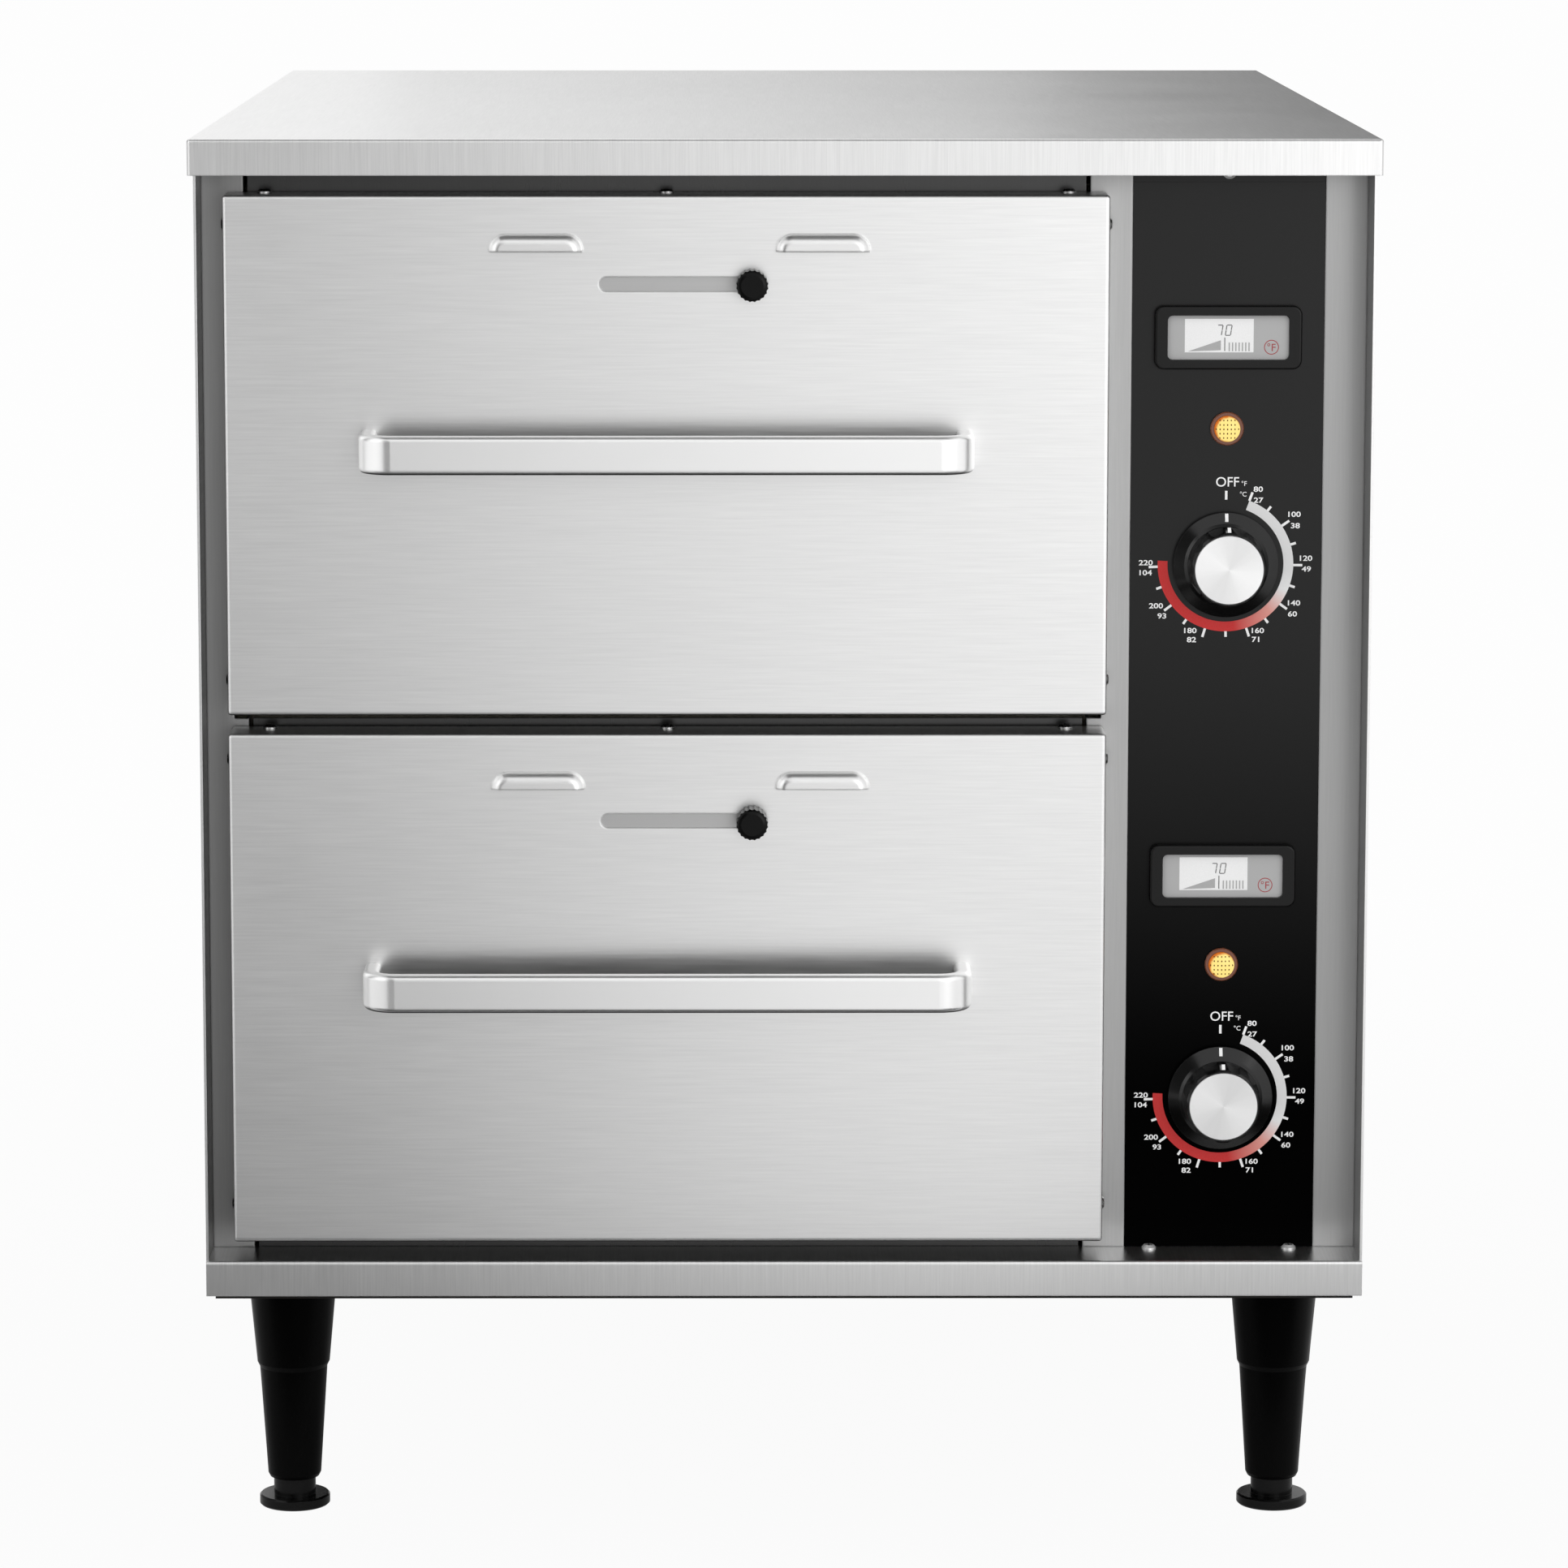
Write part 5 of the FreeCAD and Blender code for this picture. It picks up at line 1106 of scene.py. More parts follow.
@dataclass
class Thermometer:
    """A panel thermometer: black bezel and a grey display with its printed and lit marks."""

    frame: Frame
    word: str
    bars: Pattern
    ink: float = 0.00006
    layers: int = 3
    lit_left: float = -0.0211
    lit_right: float = 0.0123
    lit_top: float = 0.0091
    lit_foot: float = -0.0072
    glass_height: float = 0.0216
    digit_height: float = 0.005
    digit_width: float = 0.0025
    digit_foot: float = 0.0011
    digit_lefts: tuple[float, float] = (-0.0059, -0.0015)
    stroke: float = 0.0004
    tip_share: float = 0.35
    slant: float = 0.16
    pointer_left: float = -0.0019
    pointer_width: float = 0.0004
    pointer_foot: float = -0.0065
    wedge_left: float = -0.0195
    wedge_right: float = -0.0036
    wedge_feet: tuple[float, float] = (-0.0067, -0.0061)
    wedge_top: float = -0.0013
    bar_start: tuple[float, float] = (0.0005, -0.0045)
    bar_pitch: float = 0.0016
    bar_width: float = 0.0006
    bar_height: float = 0.0042
    bar_count: int = 7
    unit_place: tuple[float, float] = (0.021, -0.0047)
    unit_radius: float = 0.0036
    unit_height: float = 0.0038
    ring_steps: int = 40

    def build(self) -> None:
        """Lay the lit field and the marks on the display."""
        low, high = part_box("thermometer_displays")
        half = self.glass_height / 2
        self.x = (low.x + high.x) / 2
        self.z = high.z - half if self.word == "upper" else low.z + half
        self.face = low.y
        self.front = self.face - self.layers * self.ink
        self.build_field()
        self.build_marks()
        self.build_bars()
        self.build_unit()

    def outline(self, *corners: tuple[float, float]) -> list[tuple[float, float]]:
        """Corners on the display in the common frame."""
        return [(self.x + x, self.z + z) for x, z in corners]

    def oblong(self, left: float, right: float, foot: float, top: float) -> list[tuple[float, float]]:
        """Corners of an upright oblong on the display."""
        return self.outline((left, foot), (right, foot), (right, top), (left, top))

    def build_field(self) -> None:
        """The lit field behind the marks."""
        mould = Mould()
        field = self.oblong(self.lit_left, self.lit_right, self.lit_foot, self.lit_top)
        mould.plate(field, self.face - self.ink, self.ink)
        settle(f"{self.word}_display_field", mould.done(), "cabinet", CRYSTAL_LIGHT)

    def segment(self, mould: Mould, foot: tuple[float, float], start: tuple, end: tuple) -> None:
        """One bar of a seven-bar digit.

        Args:
            mould: Where the bar goes.
            foot: Lower left corner of the digit on the display.
            start: One end, in shares of the digit's width and height.
            end: The other end.
        """
        points = []
        for across, up in (start, end):
            z = up * self.digit_height
            points.append(Vector((foot[0] + across * self.digit_width + z * self.slant, foot[1] + z)))
        way = (points[1] - points[0]).normalized()
        side = Vector((-way.y, way.x)) * self.stroke / 2
        tip = way * self.stroke * self.tip_share
        inner = [points[0] + tip, points[1] - tip]
        corners = (inner[0] - side, inner[1] - side, inner[1] + side, inner[0] + side)
        mould.plate(self.outline(*(tuple(c) for c in corners)), self.front, self.ink)

    def build_marks(self) -> None:
        """Two digits, the pointer and the rising wedge."""
        dark = Mould()
        ring = {
            "top": ((0, 1), (1, 1)),
            "high_left": ((0, 0.5), (0, 1)),
            "high_right": ((1, 0.5), (1, 1)),
            "middle": ((0, 0.5), (1, 0.5)),
            "low_left": ((0, 0), (0, 0.5)),
            "low_right": ((1, 0), (1, 0.5)),
            "foot": ((0, 0), (1, 0)),
        }
        seven = ("top", "high_right", "low_right")
        nought = ("top", "high_left", "high_right", "low_left", "low_right", "foot")
        for left, names in zip(self.digit_lefts, (seven, nought)):
            for name in names:
                self.segment(dark, (left, self.digit_foot), *ring[name])
        pointer_right = self.pointer_left + self.pointer_width
        pointer = self.oblong(self.pointer_left, pointer_right, self.pointer_foot, 0.0)
        dark.plate(pointer, self.front, self.ink)
        settle(f"{self.word}_display_digits", dark.done(), "cabinet", CRYSTAL_DARK)
        shade = Mould()
        wedge = (
            (self.wedge_left, self.wedge_feet[0]),
            (self.wedge_right, self.wedge_feet[1]),
            (self.wedge_right, self.wedge_top),
        )
        shade.plate(self.outline(*wedge), self.front, self.ink)
        settle(f"{self.word}_display_wedge", shade.done(), "cabinet", CRYSTAL_SHADE)

    def build_bars(self) -> None:
        """The row of bars to the right of the pointer."""
        right, up = self.bar_start
        values = {
            "Pitch": self.bar_pitch,
            "Width": self.bar_width,
            "Length": self.bar_height,
            "Thickness": self.ink,
            "Count": self.bar_count,
            "Centre": (self.x + right, self.front + self.ink / 2, self.z + up),
        }
        mesh = self.bars.cast(values, CRYSTAL_SHADE)
        settle(f"{self.word}_display_bars", mesh, "cabinet", None)

    def build_unit(self) -> None:
        """The ringed unit mark at the right."""
        mould = Mould()
        x = self.x + self.unit_place[0]
        z = self.z + self.unit_place[1]
        radii = (self.unit_radius - self.stroke, self.unit_radius)
        for i in range(self.ring_steps):
            turns = (math.tau * i / self.ring_steps, math.tau * (i + 1) / self.ring_steps)
            corners = zip((turns[0], turns[0], turns[1], turns[1]), radii + radii[::-1])
            outline = [(x + math.cos(a) * radius, z + math.sin(a) * radius) for a, radius in corners]
            mould.plate(outline, self.face - self.ink, self.ink)
        letters = lettering("°F", self.unit_height)
        mould.mesh(letters, Matrix.Translation((x, self.face - self.ink / 2, z)))
        settle(f"{self.word}_display_unit", mould.done(), "cabinet", RED_INK)


@dataclass
class PilotLamps:
    """Two amber pilot lamps with dotted, domed lenses."""

    frame: Frame
    dimples: Pattern
    radius: float = 0.0063
    dome: float = 0.0016
    lean: tuple[float, float] = (0.0007, -0.0004)
    dimple_pitch: float = 0.0018
    dimple_row_pitch: float = 0.0021
    dimple_width: float = 0.00034
    dimple_height: float = 0.0005
    rings: int = 10
    spokes: int = 48

    def build(self) -> None:
        """Turn the lenses and set the dimples on them."""
        self.frame.dress(LAMP_RIM, "pilot_lamp_bodies")
        low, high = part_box("pilot_lamp_lenses")
        x = (low.x + high.x) / 2
        front = low.y
        back = high.y
        levels = (high.z - self.radius, low.z + self.radius)
        mould = Mould()
        reach = mould.bm.verts.layers.float.new("reach")
        dots = Mould()
        for level in levels:
            self.turn_lens(mould, reach, (x, front, back, level))
            values = {
                "Pitch": self.dimple_pitch,
                "Row Pitch": self.dimple_row_pitch,
                "Lens Radius": self.radius,
                "Dome": self.dome,
                "Dimple Width": self.dimple_width,
                "Dimple Height": self.dimple_height,
                "Centre": (x, front + self.dome, level),
            }
            dots.mesh(self.dimples.cast(values, LENS_DIMPLE), Matrix())
        settle(
            "pilot_lamp_domes", mould.done(True), "cabinet", LAMP_GLOW, ["pilot_lamp_lenses"]
        )
        settle("pilot_lamp_dimples", dots.done(True), "cabinet", LENS_DIMPLE)

    def turn_lens(
        self, mould: Mould, reach: bmesh.types.BMLayerItem, place: tuple[float, float, float, float]
    ) -> None:
        """Turn one lens.

        Args:
            mould: Where the lens goes.
            reach: Layer that takes the share of the radius.
            place: Its x, its front and back along Y and its z.
        """
        x, front, back, z = place
        profile = []
        for i in range(1, self.rings + 1):
            share = i / self.rings
            profile.append((share * self.radius, front + self.dome * share * share))
        profile.append((self.radius, back))
        tip = mould.bm.verts.new((x, front, z))
        tip[reach] = math.hypot(*self.lean) / self.radius
        foot = mould.bm.verts.new((x, back, z))
        foot[reach] = 1.0
        loops = []
        for radius, y in profile:
            loop = []
            for j in range(self.spokes):
                angle = math.tau * j / self.spokes
                right = radius * math.cos(angle)
                up = radius * math.sin(angle)
                vert = mould.bm.verts.new((x + right, y, z + up))
                vert[reach] = math.hypot(right - self.lean[0], up - self.lean[1]) / self.radius
                loop.append(vert)
            loops.append(loop)
        for j in range(self.spokes):
            k = (j + 1) % self.spokes
            mould.bm.faces.new((tip, loops[0][j], loops[0][k]))
            mould.bm.faces.new((foot, loops[-1][k], loops[-1][j]))
            for inner, outer in zip(loops, loops[1:]):
                mould.bm.faces.new((inner[j], outer[j], outer[k], inner[k]))


@dataclass
class Dial:
    """A thermostat dial: printed scale on the panel, knob with index marks and spun cap."""

    frame: Frame
    word: str
    ticks: Pattern
    ink: float = 0.00006
    band_inner: float = 0.0283
    band_outer: float = 0.0331
    first_degrees: float = 20.0
    step_degrees: float = 35.4
    last_degrees: float = 273.0
    places: int = 8
    band_steps: int = 96
    tick_width: float = 0.0012
    long_tick: float = 0.0044
    short_tick: float = 0.0027
    off_tick: float = 0.0043
    figure_height: float = 0.00265
    figure_width: float = 1.3
    figure_bold: float = 0.02
    off_height: float = 0.0047
    unit_height: float = 0.0024
    word_bold: float = 0.004
    mark_width: float = 0.0016
    mark_reach: float = 0.0252
    mark_length: float = 0.0038
    mark_steps: int = 6
    mark_lean: float = 0.4
    probe_gap: float = 0.01
    rib_steps: int = 4
    rib_gap: float = 0.0003
    rib_depth: float = 0.0034
    rib_rise: float = 0.0033
    rib_root: float = 0.003
    off_drop: float = 0.0014
    marks: tuple[tuple[str, float, float], ...] = (
        ("80", 15.6, 36.8),
        ("27", 15.8, 31.4),
        ("100", 33.4, 24.5),
        ("38", 33.9, 18.9),
        ("120", 39.3, 2.9),
        ("49", 39.5, -2.4),
        ("140", 33.7, -19.1),
        ("60", 33.0, -24.5),
        ("160", 16.2, -32.7),
        ("71", 15.1, -37.1),
        ("180", -16.8, -32.7),
        ("82", -16.2, -37.2),
        ("200", -33.7, -20.5),
        ("93", -30.8, -25.5),
        ("220", -38.9, 0.7),
        ("104", -38.9, -4.2),
    )

    def build(self) -> None:
        """Print the scale and dress the knob."""
        self.centre = self.frame.middle(f"{self.word}_dial_cap")
        self.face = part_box("control_overlay")[0].y
        self.build_band()
        self.build_ticks()
        self.build_figures()
        self.build_index()
        cap = SpunCap(f"{self.word}_spun_cap", (self.centre.x, self.centre.z))
        self.frame.dress(cap, f"{self.word}_dial_cap")
        self.frame.dress(KNOB_PLASTIC, f"{self.word}_dial_knob")
        self.frame.dress(SCREW_STEEL, f"{self.word}_thermostat_shaft")

    def build_band(self) -> None:
        """The coloured band round the dial."""
        mould = Mould()
        turn = mould.bm.verts.layers.float.new("turn")
        front = self.face - self.ink
        rows = []
        for i in range(self.band_steps + 1):
            share = i / self.band_steps
            angle = math.radians(self.first_degrees + share * (self.last_degrees - self.first_degrees))
            row = []
            for radius, y in (
                (self.band_inner, front),
                (self.band_outer, front),
                (self.band_outer, self.face),
                (self.band_inner, self.face),
            ):
                right = radius * math.sin(angle)
                up = radius * math.cos(angle)
                place = (self.centre.x + right, y, self.centre.z + up)
                vert = mould.bm.verts.new(place)
                vert[turn] = share
                row.append(vert)
            rows.append(row)
        for here, there in zip(rows, rows[1:]):
            for j in range(4):
                k = (j + 1) % 4
                mould.bm.faces.new((here[j], here[k], there[k], there[j]))
        for end in (rows[0], rows[-1]):
            mould.bm.faces.new(end)
        settle(f"{self.word}_scale_band", mould.done(), "cabinet", SCALE_INK)

    def build_ticks(self) -> None:
        """Long ticks at the figures, short ones between them, and one at the off place."""
        centre = (self.centre.x, self.face - self.ink / 2, self.centre.z)
        step = math.radians(self.step_degrees)
        first = math.radians(self.first_degrees)
        off_radius = self.band_outer - self.off_drop
        shared = {
            "Width": self.tick_width,
            "Thickness": self.ink,
            "Centre": centre,
            "Radius": self.band_outer,
        }
        rows = (
            {"First": first, "Step": step, "Count": self.places, "Length": self.long_tick},
            {"First": first + step / 2, "Step": step, "Count": self.places - 1, "Length": self.short_tick},
            {"First": 0.0, "Radius": off_radius, "Step": step, "Count": 1, "Length": self.off_tick},
        )
        mould = Mould()
        for row in rows:
            mould.mesh(self.ticks.cast({**shared, **row}, WHITE_INK), Matrix())
        settle(f"{self.word}_scale_ticks", mould.done(), "cabinet", WHITE_INK)

    def build_figures(self) -> None:
        """The figures, the off word and the unit marks."""
        mould = Mould()
        y = self.face - self.ink / 2
        figure = (self.figure_height, self.figure_bold, self.figure_width)
        unit = (self.unit_height, self.word_bold, 1.0)
        rows = [(*mark, *figure) for mark in self.marks]
        rows += [("OFF", 0.6, 40.4, self.off_height, self.word_bold, 1.0)]
        rows += [("°F", 8.7, 39.6, *unit), ("°C", 8.3, 34.4, *unit)]
        for text, right, up, height, bold, width in rows:
            spot = Matrix.Translation((self.centre.x + right * MM, y, self.centre.z + up * MM))
            wide = Matrix.Diagonal((width, 1.0, 1.0, 1.0))
            mould.mesh(lettering(text, height, bold), spot @ wide)
        settle(f"{self.word}_scale_figures", mould.done(), "cabinet", WHITE_INK)

    def build_index(self) -> None:
        """White index mark on the skirt, and a pointer rib at the top of the grip."""
        meet = self.frame.probe(f"{self.word}_dial_knob")
        low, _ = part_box(f"{self.word}_dial_knob")
        half = self.mark_width / 2
        mould = Mould()
        rows = []
        for i in range(self.mark_steps + 1):
            z = self.centre.z + self.mark_reach - self.mark_length * i / self.mark_steps
            pair = [Vector((self.centre.x + side * half, low.y - self.probe_gap, z)) for side in (-1, 1)]
            rows.append(tuple(meet(p, Vector((0.0, 1.0, 0.0))) for p in pair))
        mould.strip(rows, Vector((0.0, -self.ink, self.ink * self.mark_lean)))
        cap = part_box(f"{self.word}_dial_cap")
        edge = (cap[1].x - cap[0].x) / 2 + self.rib_gap
        rows = []
        for i in range(self.rib_steps + 1):
            share = i / self.rib_steps
            y = low.y + self.rib_gap + self.rib_depth * share
            z = self.centre.z + edge - self.rib_root + self.rib_rise * share
            rows.append(tuple(Vector((self.centre.x + side * half, y, z)) for side in (-1, 1)))
        mould.strip(rows, Vector((0.0, 0.0, self.rib_root)))
        settle(f"{self.word}_dial_index", mould.done(), f"{self.word}_dial", WHITE_INK)


@dataclass
class ControlColumn:
    """The black column at the right, with two sets of controls."""

    frame: Frame

    def build(self) -> None:
        """Dress the column and build its controls."""
        self.frame.dress(PANEL_PAINT, "control_panel")
        self.frame.dress(OVERLAY_FILM, "control_overlay")
        self.frame.dress(BEZEL_PLASTIC, "thermometer_bezels")
        self.frame.dress(DISPLAY_GREY, "thermometer_displays")
        ticks = tick_ring()
        bars = bar_row()
        for word in DRAWERS:
            Thermometer(self.frame, word, bars).build()
            Dial(self.frame, word, ticks).build()
        PilotLamps(self.frame, dimple_field()).build()


@dataclass
class Drawer:
    """One drawer with its pan, front, handle and sliding vent."""

    frame: Frame
    word: str

    def dress(self) -> None:
        """Lay the finishes of the drawer."""
        finishes = (
            (DRAWER_STEEL, ("drawer_skin",)),
            (LINER_STEEL, ("drawer_inner_skin",)),
            (WOOL, ("drawer_insulation",)),
            (HANDLE_STEEL, ("handle",)),
            (SCREW_STEEL, ("drawer_screws",)),
            (RUNNER_STEEL, ("pan_carrier", "drawer_runners")),
            (PAN_STEEL, ("food_pan",)),
            (SHUTTER_STEEL, ("vent_shutter",)),
            (VENT_PLASTIC, ("vent_knob",)),
            (NYLON, ("front_rollers", "rear_rollers")),
        )
        for finish, pieces in finishes:
            self.frame.dress(finish, *(f"{self.word}_{piece}" for piece in pieces))


@dataclass
class ScrewHeads:
    """Cross recesses on the domed heads of all screws, one mesh for each body."""

    frame: Frame
    width: float = 0.0009
    length: float = 0.0036
    depth: float = 0.0008
    proud: float = 0.00004
    end_share: float = 0.3
    unroundness: float = 0.02

    def build(self) -> None:
        """Find the heads and set a recess on each."""
        pattern = cross_recesses()
        rows = [("cabinet_fasteners", "cabinet")]
        rows += [(f"{word}_drawer_screws", f"{word}_drawer") for word in DRAWERS]
        for node, body in rows:
            start = self.head_points(node)
            values = {"Width": self.width, "Length": self.length, "Depth": self.depth}
            mesh = pattern.cast(values, RECESS_PAINTED_SHADE, start)
            settle(f"{node}_recesses", mesh, body, None)

    def head_points(self, node: str) -> bpy.types.Mesh:
        """Points just under the crown of each head, with the way that it faces.

        Args:
            node: A node that holds separate screws.

        Returns:
            A mesh of loose points with a facing attribute.
        """
        bm = bmesh.new()
        bm.from_mesh(self.frame.nodes[node].data)
        bmesh.ops.remove_doubles(bm, verts=bm.verts, dist=1e-6)
        spots = []
        for island in self.islands(bm):
            found = self.head_of(island)
            if found:
                spots.append(found)
        bm.free()
        mesh = bpy.data.meshes.new("heads")
        mesh.from_pydata([place for place, _ in spots], [], [])
        facing = mesh.attributes.new("facing", "FLOAT_VECTOR", "POINT")
        facing.data.foreach_set("vector", [n for _, way in spots for n in way])
        return mesh

    @staticmethod
    def islands(bm: bmesh.types.BMesh) -> list[list[Vector]]:
        """The corners of each separate solid, in the order of the mesh."""
        left = set(bm.verts)
        found = []
        for first in bm.verts:
            if first not in left:
                continue
            left.remove(first)
            queue = [first]
            island = []
            while queue:
                vert = queue.pop()
                island.append(vert.co.copy())
                for edge in vert.link_edges:
                    other = edge.other_vert(vert)
                    if other in left:
                        left.remove(other)
                        queue.append(other)
            found.append(island)
        return found

    def head_of(self, island: Sequence[Vector]) -> tuple[Vector, Vector] | None:
        """Crown and facing of a screw.

        Args:
            island: Corners of one solid.

        Returns:
            The point for the recess and the facing, or None for what is no screw.
        """
        low = Vector([min(p[i] for p in island) for i in range(3)])
        high = Vector([max(p[i] for p in island) for i in range(3)])
        size = high - low
        rest = ((1, 2), (0, 2), (0, 1))
        uneven = [abs(size[i] - size[j]) / max(size[i], size[j]) for i, j in rest]
        axis = min(range(3), key=lambda i: uneven[i])
        if uneven[axis] > self.unroundness:
            return None
        others = rest[axis]
        middle = (low + high) / 2
        reach = {}
        for sign, end in ((-1, low[axis]), (1, high[axis])):
            near = [p for p in island if abs(p[axis] - end) < self.end_share * size[axis]]
            reach[sign] = max(sum((p[i] - middle[i]) ** 2 for i in others) for p in near)
        sign = max(reach, key=lambda s: reach[s])
        way = Vector((0.0, 0.0, 0.0))
        way[axis] = sign
        crown = middle.copy()
        crown[axis] = high[axis] if sign > 0 else low[axis]
        return crown - way * (self.depth / 2 - self.proud), way


@dataclass(frozen=True)
class Cloth(Finish):
    """Matt cloth of a studio card, graded in tone from one end to the other."""

    start: tuple[float, float, float] = (0.0, 0.0, 0.0)
    end: tuple[float, float, float] = (1.0, 0.0, 0.0)
    tones: tuple[float, float] = (0.1, 0.1)

    def shade(self, bench: Bench) -> None:
        """Tone by place along the card."""
        way = Vector(self.end) - Vector(self.start)
        along: Wire | float = -way.dot(Vector(self.start)) / way.length_squared
        for part, step in zip(bench.parts(bench.place()), way):
            along = along + part * (step / way.length_squared)
        tone = bench.blend(bench.smooth(along, 0.0, 1.0), grey(self.tones[0]), grey(self.tones[1]))
        bench.surface({"Base Color": tone, "Roughness": 0.9, "Specular IOR Level": 0.1})


@dataclass(frozen=True)
class Flag:
    """A card out of the picture, which only shapes what shiny surfaces mirror."""

    name: str
    start: tuple[float, float, float]
    end: tuple[float, float, float]
    spread: tuple[float, float, float]
    tones: tuple[float, float]

    def build(self) -> None:
        """Hang the card."""
        sides = Vector(self.start), Vector(self.end), Vector(self.spread)
        corners = (sides[0], sides[1], sides[1] + sides[2], sides[0] + sides[2])
        mesh = bpy.data.meshes.new(self.name)
        mesh.from_pydata(corners, [], [(0, 1, 2, 3)])
        card = placed(self.name, mesh)
        card.visible_camera = False
        card.visible_diffuse = False
        card.visible_shadow = False
        cloth = Cloth(f"{self.name}_cloth", self.start, self.end, self.tones)
        mesh.materials.append(cloth.material())
        card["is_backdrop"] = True


@dataclass
class Studio:
    """White floor and backdrop, soft lamps, cards that the metal mirrors, and the camera.

    The floor lies lower than the feet by their travel, so that it never hides a foot that is screwed out.
    """

    floor_half: float = 4.0
    floor_level: float = -0.0256
    shade_place: tuple[float, float] = (-0.5, -0.8)
    camera_place: tuple[float, float, float] = (-0.02635, -3.31493, 0.85153)
    pitch_degrees: float = 8.05
    yaw: float = 0.0021
    lens: float = 142.07
    shift: tuple[float, float] = (0.026, -0.08)
    white: float = 0.985
    room: float = 1.2
    near_white: float = 0.965
    near_span: tuple[float, float] = (0.5, 1.6)
    shade_span: tuple[float, float] = (0.3, 2.3)
    paper: float = 0.52
    aim_height: float = 0.38
    sensor: float = 36.0

    def build(self) -> None:
        """Make the floor, the light, the flags and the camera."""
        bpy.context.scene.view_settings.view_transform = "Standard"
        self.build_floor()
        self.build_world()
        self.build_lamp("front_right_softbox", (1.65, -3.3, 0.95), 1.6, 13.0)
        self.build_lamp("front_left_fill", (-2.6, -2.2, 1.5), 1.5, 4.0)
        self.build_lamp("rear_left_softbox", (-1.7, 2.4, 2.2), 3.2, 4.0)
        for flag in self.flags():
            flag.build()
        self.build_camera()

    @staticmethod
    def flags() -> tuple[Flag, ...]:
        """Cards beside the light path, behind and beside the object, just over the floor and overhead."""
        high = (0.0, 0.0, 1.0)
        return (
            Flag("left_flag", (-0.45, -3.9, 0.1), (-0.45, -0.9, 0.1), high, (0.05, 0.1)),
            Flag("right_flag", (0.5, -0.2, 0.7), (0.32, 3.4, 0.7), high, (0.1, 0.16)),
            Flag("rear_card", (-0.4, 3.5, 0.5), (0.4, 3.5, 0.5), high, (0.7, 0.32)),
            Flag("side_card", (-3.4, -0.3, 0.5), (-1.4, 3.6, 0.5), (0.0, 0.0, 3.5), (0.3, 0.5)),
            Flag("near_card", (-0.8, -0.74, 0.001), (0.8, -0.74, 0.001), (0.0, 0.3, 0.0), (0.02, 0.02)),
            Flag("floor_card", (-0.5, -2.5, 0.001), (0.18, -2.5, 0.001), (0.0, 1.76, 0.0), (0.0, 0.8)),
            Flag("overhead_flag", (-1.0, -1.6, 2.3), (1.0, -1.6, 2.3), (0.0, 1.4, 0.0), (0.06, 0.3)),
        )

    @staticmethod
    def ray_kinds(bench: Bench) -> tuple[Wire, Wire]:
        """Whether the camera sees a ray, straight or through glass, and whether it is mirrored."""
        path = bench.add("ShaderNodeLightPath", output="Is Camera Ray")
        rays = {socket.name: Wire(bench, socket) for socket in path.socket.node.outputs}
        seen = bench.maths("MAXIMUM", rays["Is Camera Ray"], rays["Is Transmission Ray"])
        return seen, rays["Is Glossy Ray"]

    def build_floor(self) -> None:
        """A pale floor that is white to the camera but for a faint shadow."""
        half = self.floor_half
        mesh = bpy.data.meshes.new("studio_floor")
        corners = ((-half, -half), (half, -half), (half, half), (-half, half))
        mesh.from_pydata([(x, y, self.floor_level) for x, y in corners], [], [(0, 1, 2, 3)])
        floor = placed("studio_floor", mesh)
        material = bpy.data.materials.new("studio_floor")
        material.use_nodes = True
        bench = Bench(material.node_tree)
        seen, glossy = self.ray_kinds(bench)
        x, y, _ = bench.parts(bench.place())
        clear = self.near_white + bench.smooth(bench.far(x, y), *self.near_span) * (1.0 - self.near_white)
        from_shade = bench.far(x - self.shade_place[0], y - self.shade_place[1])
        mirrored = glossy * bench.smooth(from_shade, *self.shade_span)
        paper = bench.add("ShaderNodeBsdfDiffuse", None, {"Color": grey(self.paper)})
        light = bench.add("ShaderNodeEmission", None, {"Color": grey(self.white), "Strength": 1.0})
        mixed = bench.add(
            "ShaderNodeMixShader",
            None,
            {"Fac": seen * clear + mirrored, "Shader": paper, "Shader_001": light},
        )
        bench.add("ShaderNodeOutputMaterial", None, {"Surface": mixed})
        mesh.materials.append(material)
        floor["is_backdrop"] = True

    def build_world(self) -> None:
        """White to the camera and in metal and glass, and a plain soft room otherwise."""
        world = bpy.data.worlds.new("studio")
        bpy.context.scene.world = world
        world.use_nodes = True
        bench = Bench(world.node_tree)
        white = bench.maths("MAXIMUM", *self.ray_kinds(bench))
        level = self.room + white * (self.white - self.room)
        back = bench.add("ShaderNodeBackground", None, {"Color": grey(1.0), "Strength": level})
        bench.add("ShaderNodeOutputWorld", None, {"Surface": back})

    def build_lamp(self, name: str, place: tuple[float, float, float], size: float, watts: float) -> None:
        """A square soft lamp that faces the middle of the object.

        Args:
            name: Name of the lamp.
            place: Where it hangs.
            size: Side of its square.
            watts: Its power.
        """
        data = bpy.data.lights.new(name, "AREA")
        data.size = size
        data.energy = watts
        lamp = placed(name, data)
        lamp.location = place
        lamp.visible_camera = False
        way = Vector((0.0, 0.0, self.aim_height)) - Vector(place)
        lamp.rotation_euler = way.to_track_quat("-Z", "Y").to_euler()

    def build_camera(self) -> None:
        """The camera, at the photograph's place."""
        data = bpy.data.cameras.new("camera")
        data.lens = self.lens
        data.sensor_width = self.sensor
        data.shift_x, data.shift_y = self.shift
        camera = placed("camera", data)
        camera.location = self.camera_place
        camera.rotation_euler = (math.radians(90.0 - self.pitch_degrees), 0.0, -self.yaw)
        bpy.context.scene.camera = camera


def write_sizes() -> None:
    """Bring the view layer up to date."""
    bpy.context.view_layer.update()


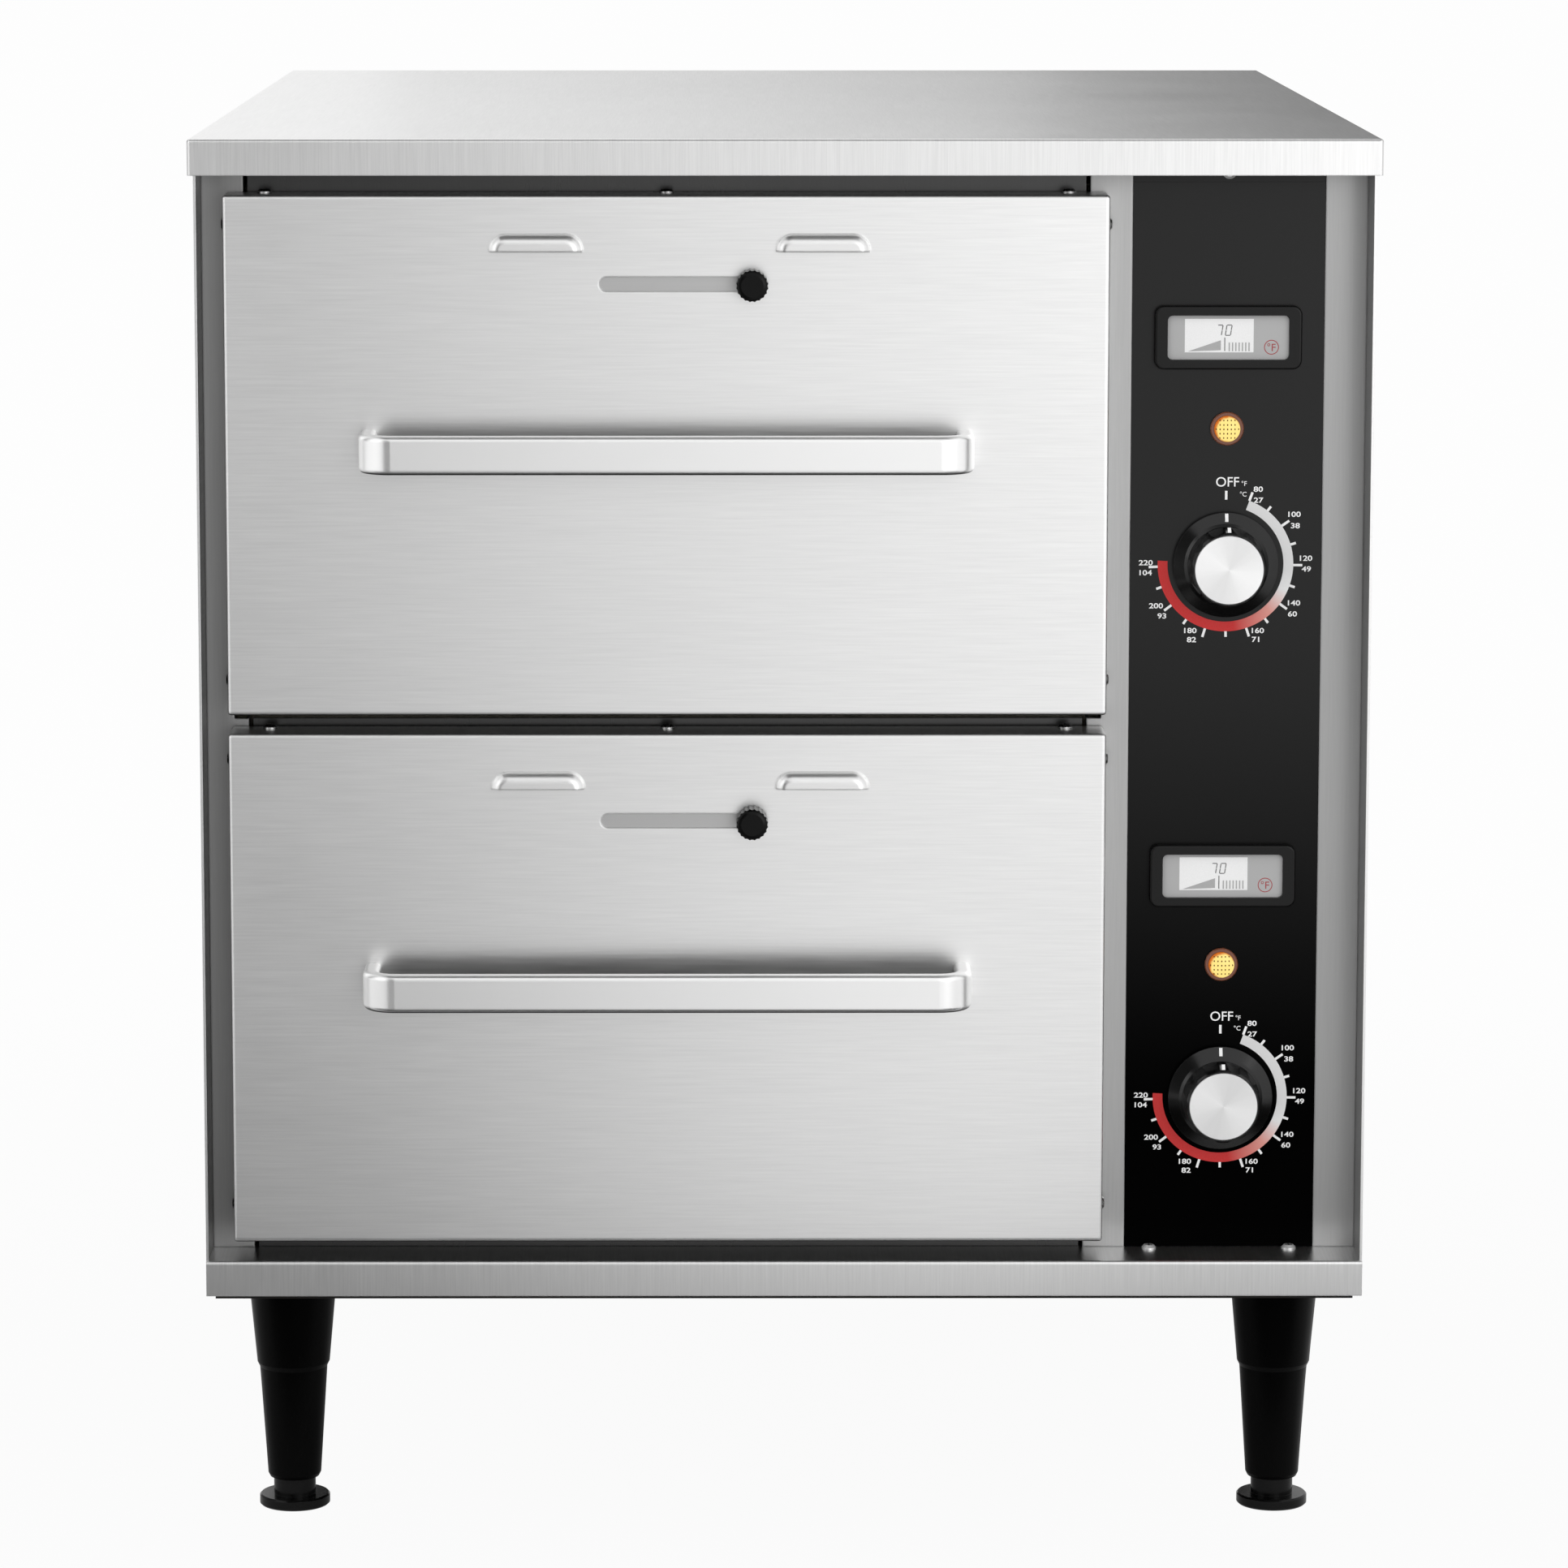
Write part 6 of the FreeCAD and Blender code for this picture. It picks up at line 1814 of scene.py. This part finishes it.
def main() -> None:
    """Build every sub-assembly in order."""
    logging.basicConfig(level=logging.INFO, format="%(message)s")
    frame = Frame()
    Cabinet(frame).dress()
    ControlColumn(frame).build()
    for word in DRAWERS:
        Drawer(frame, word).dress()
    ScrewHeads(frame).build()
    Studio().build()
    write_sizes()


if __name__ == "__main__":
    main()
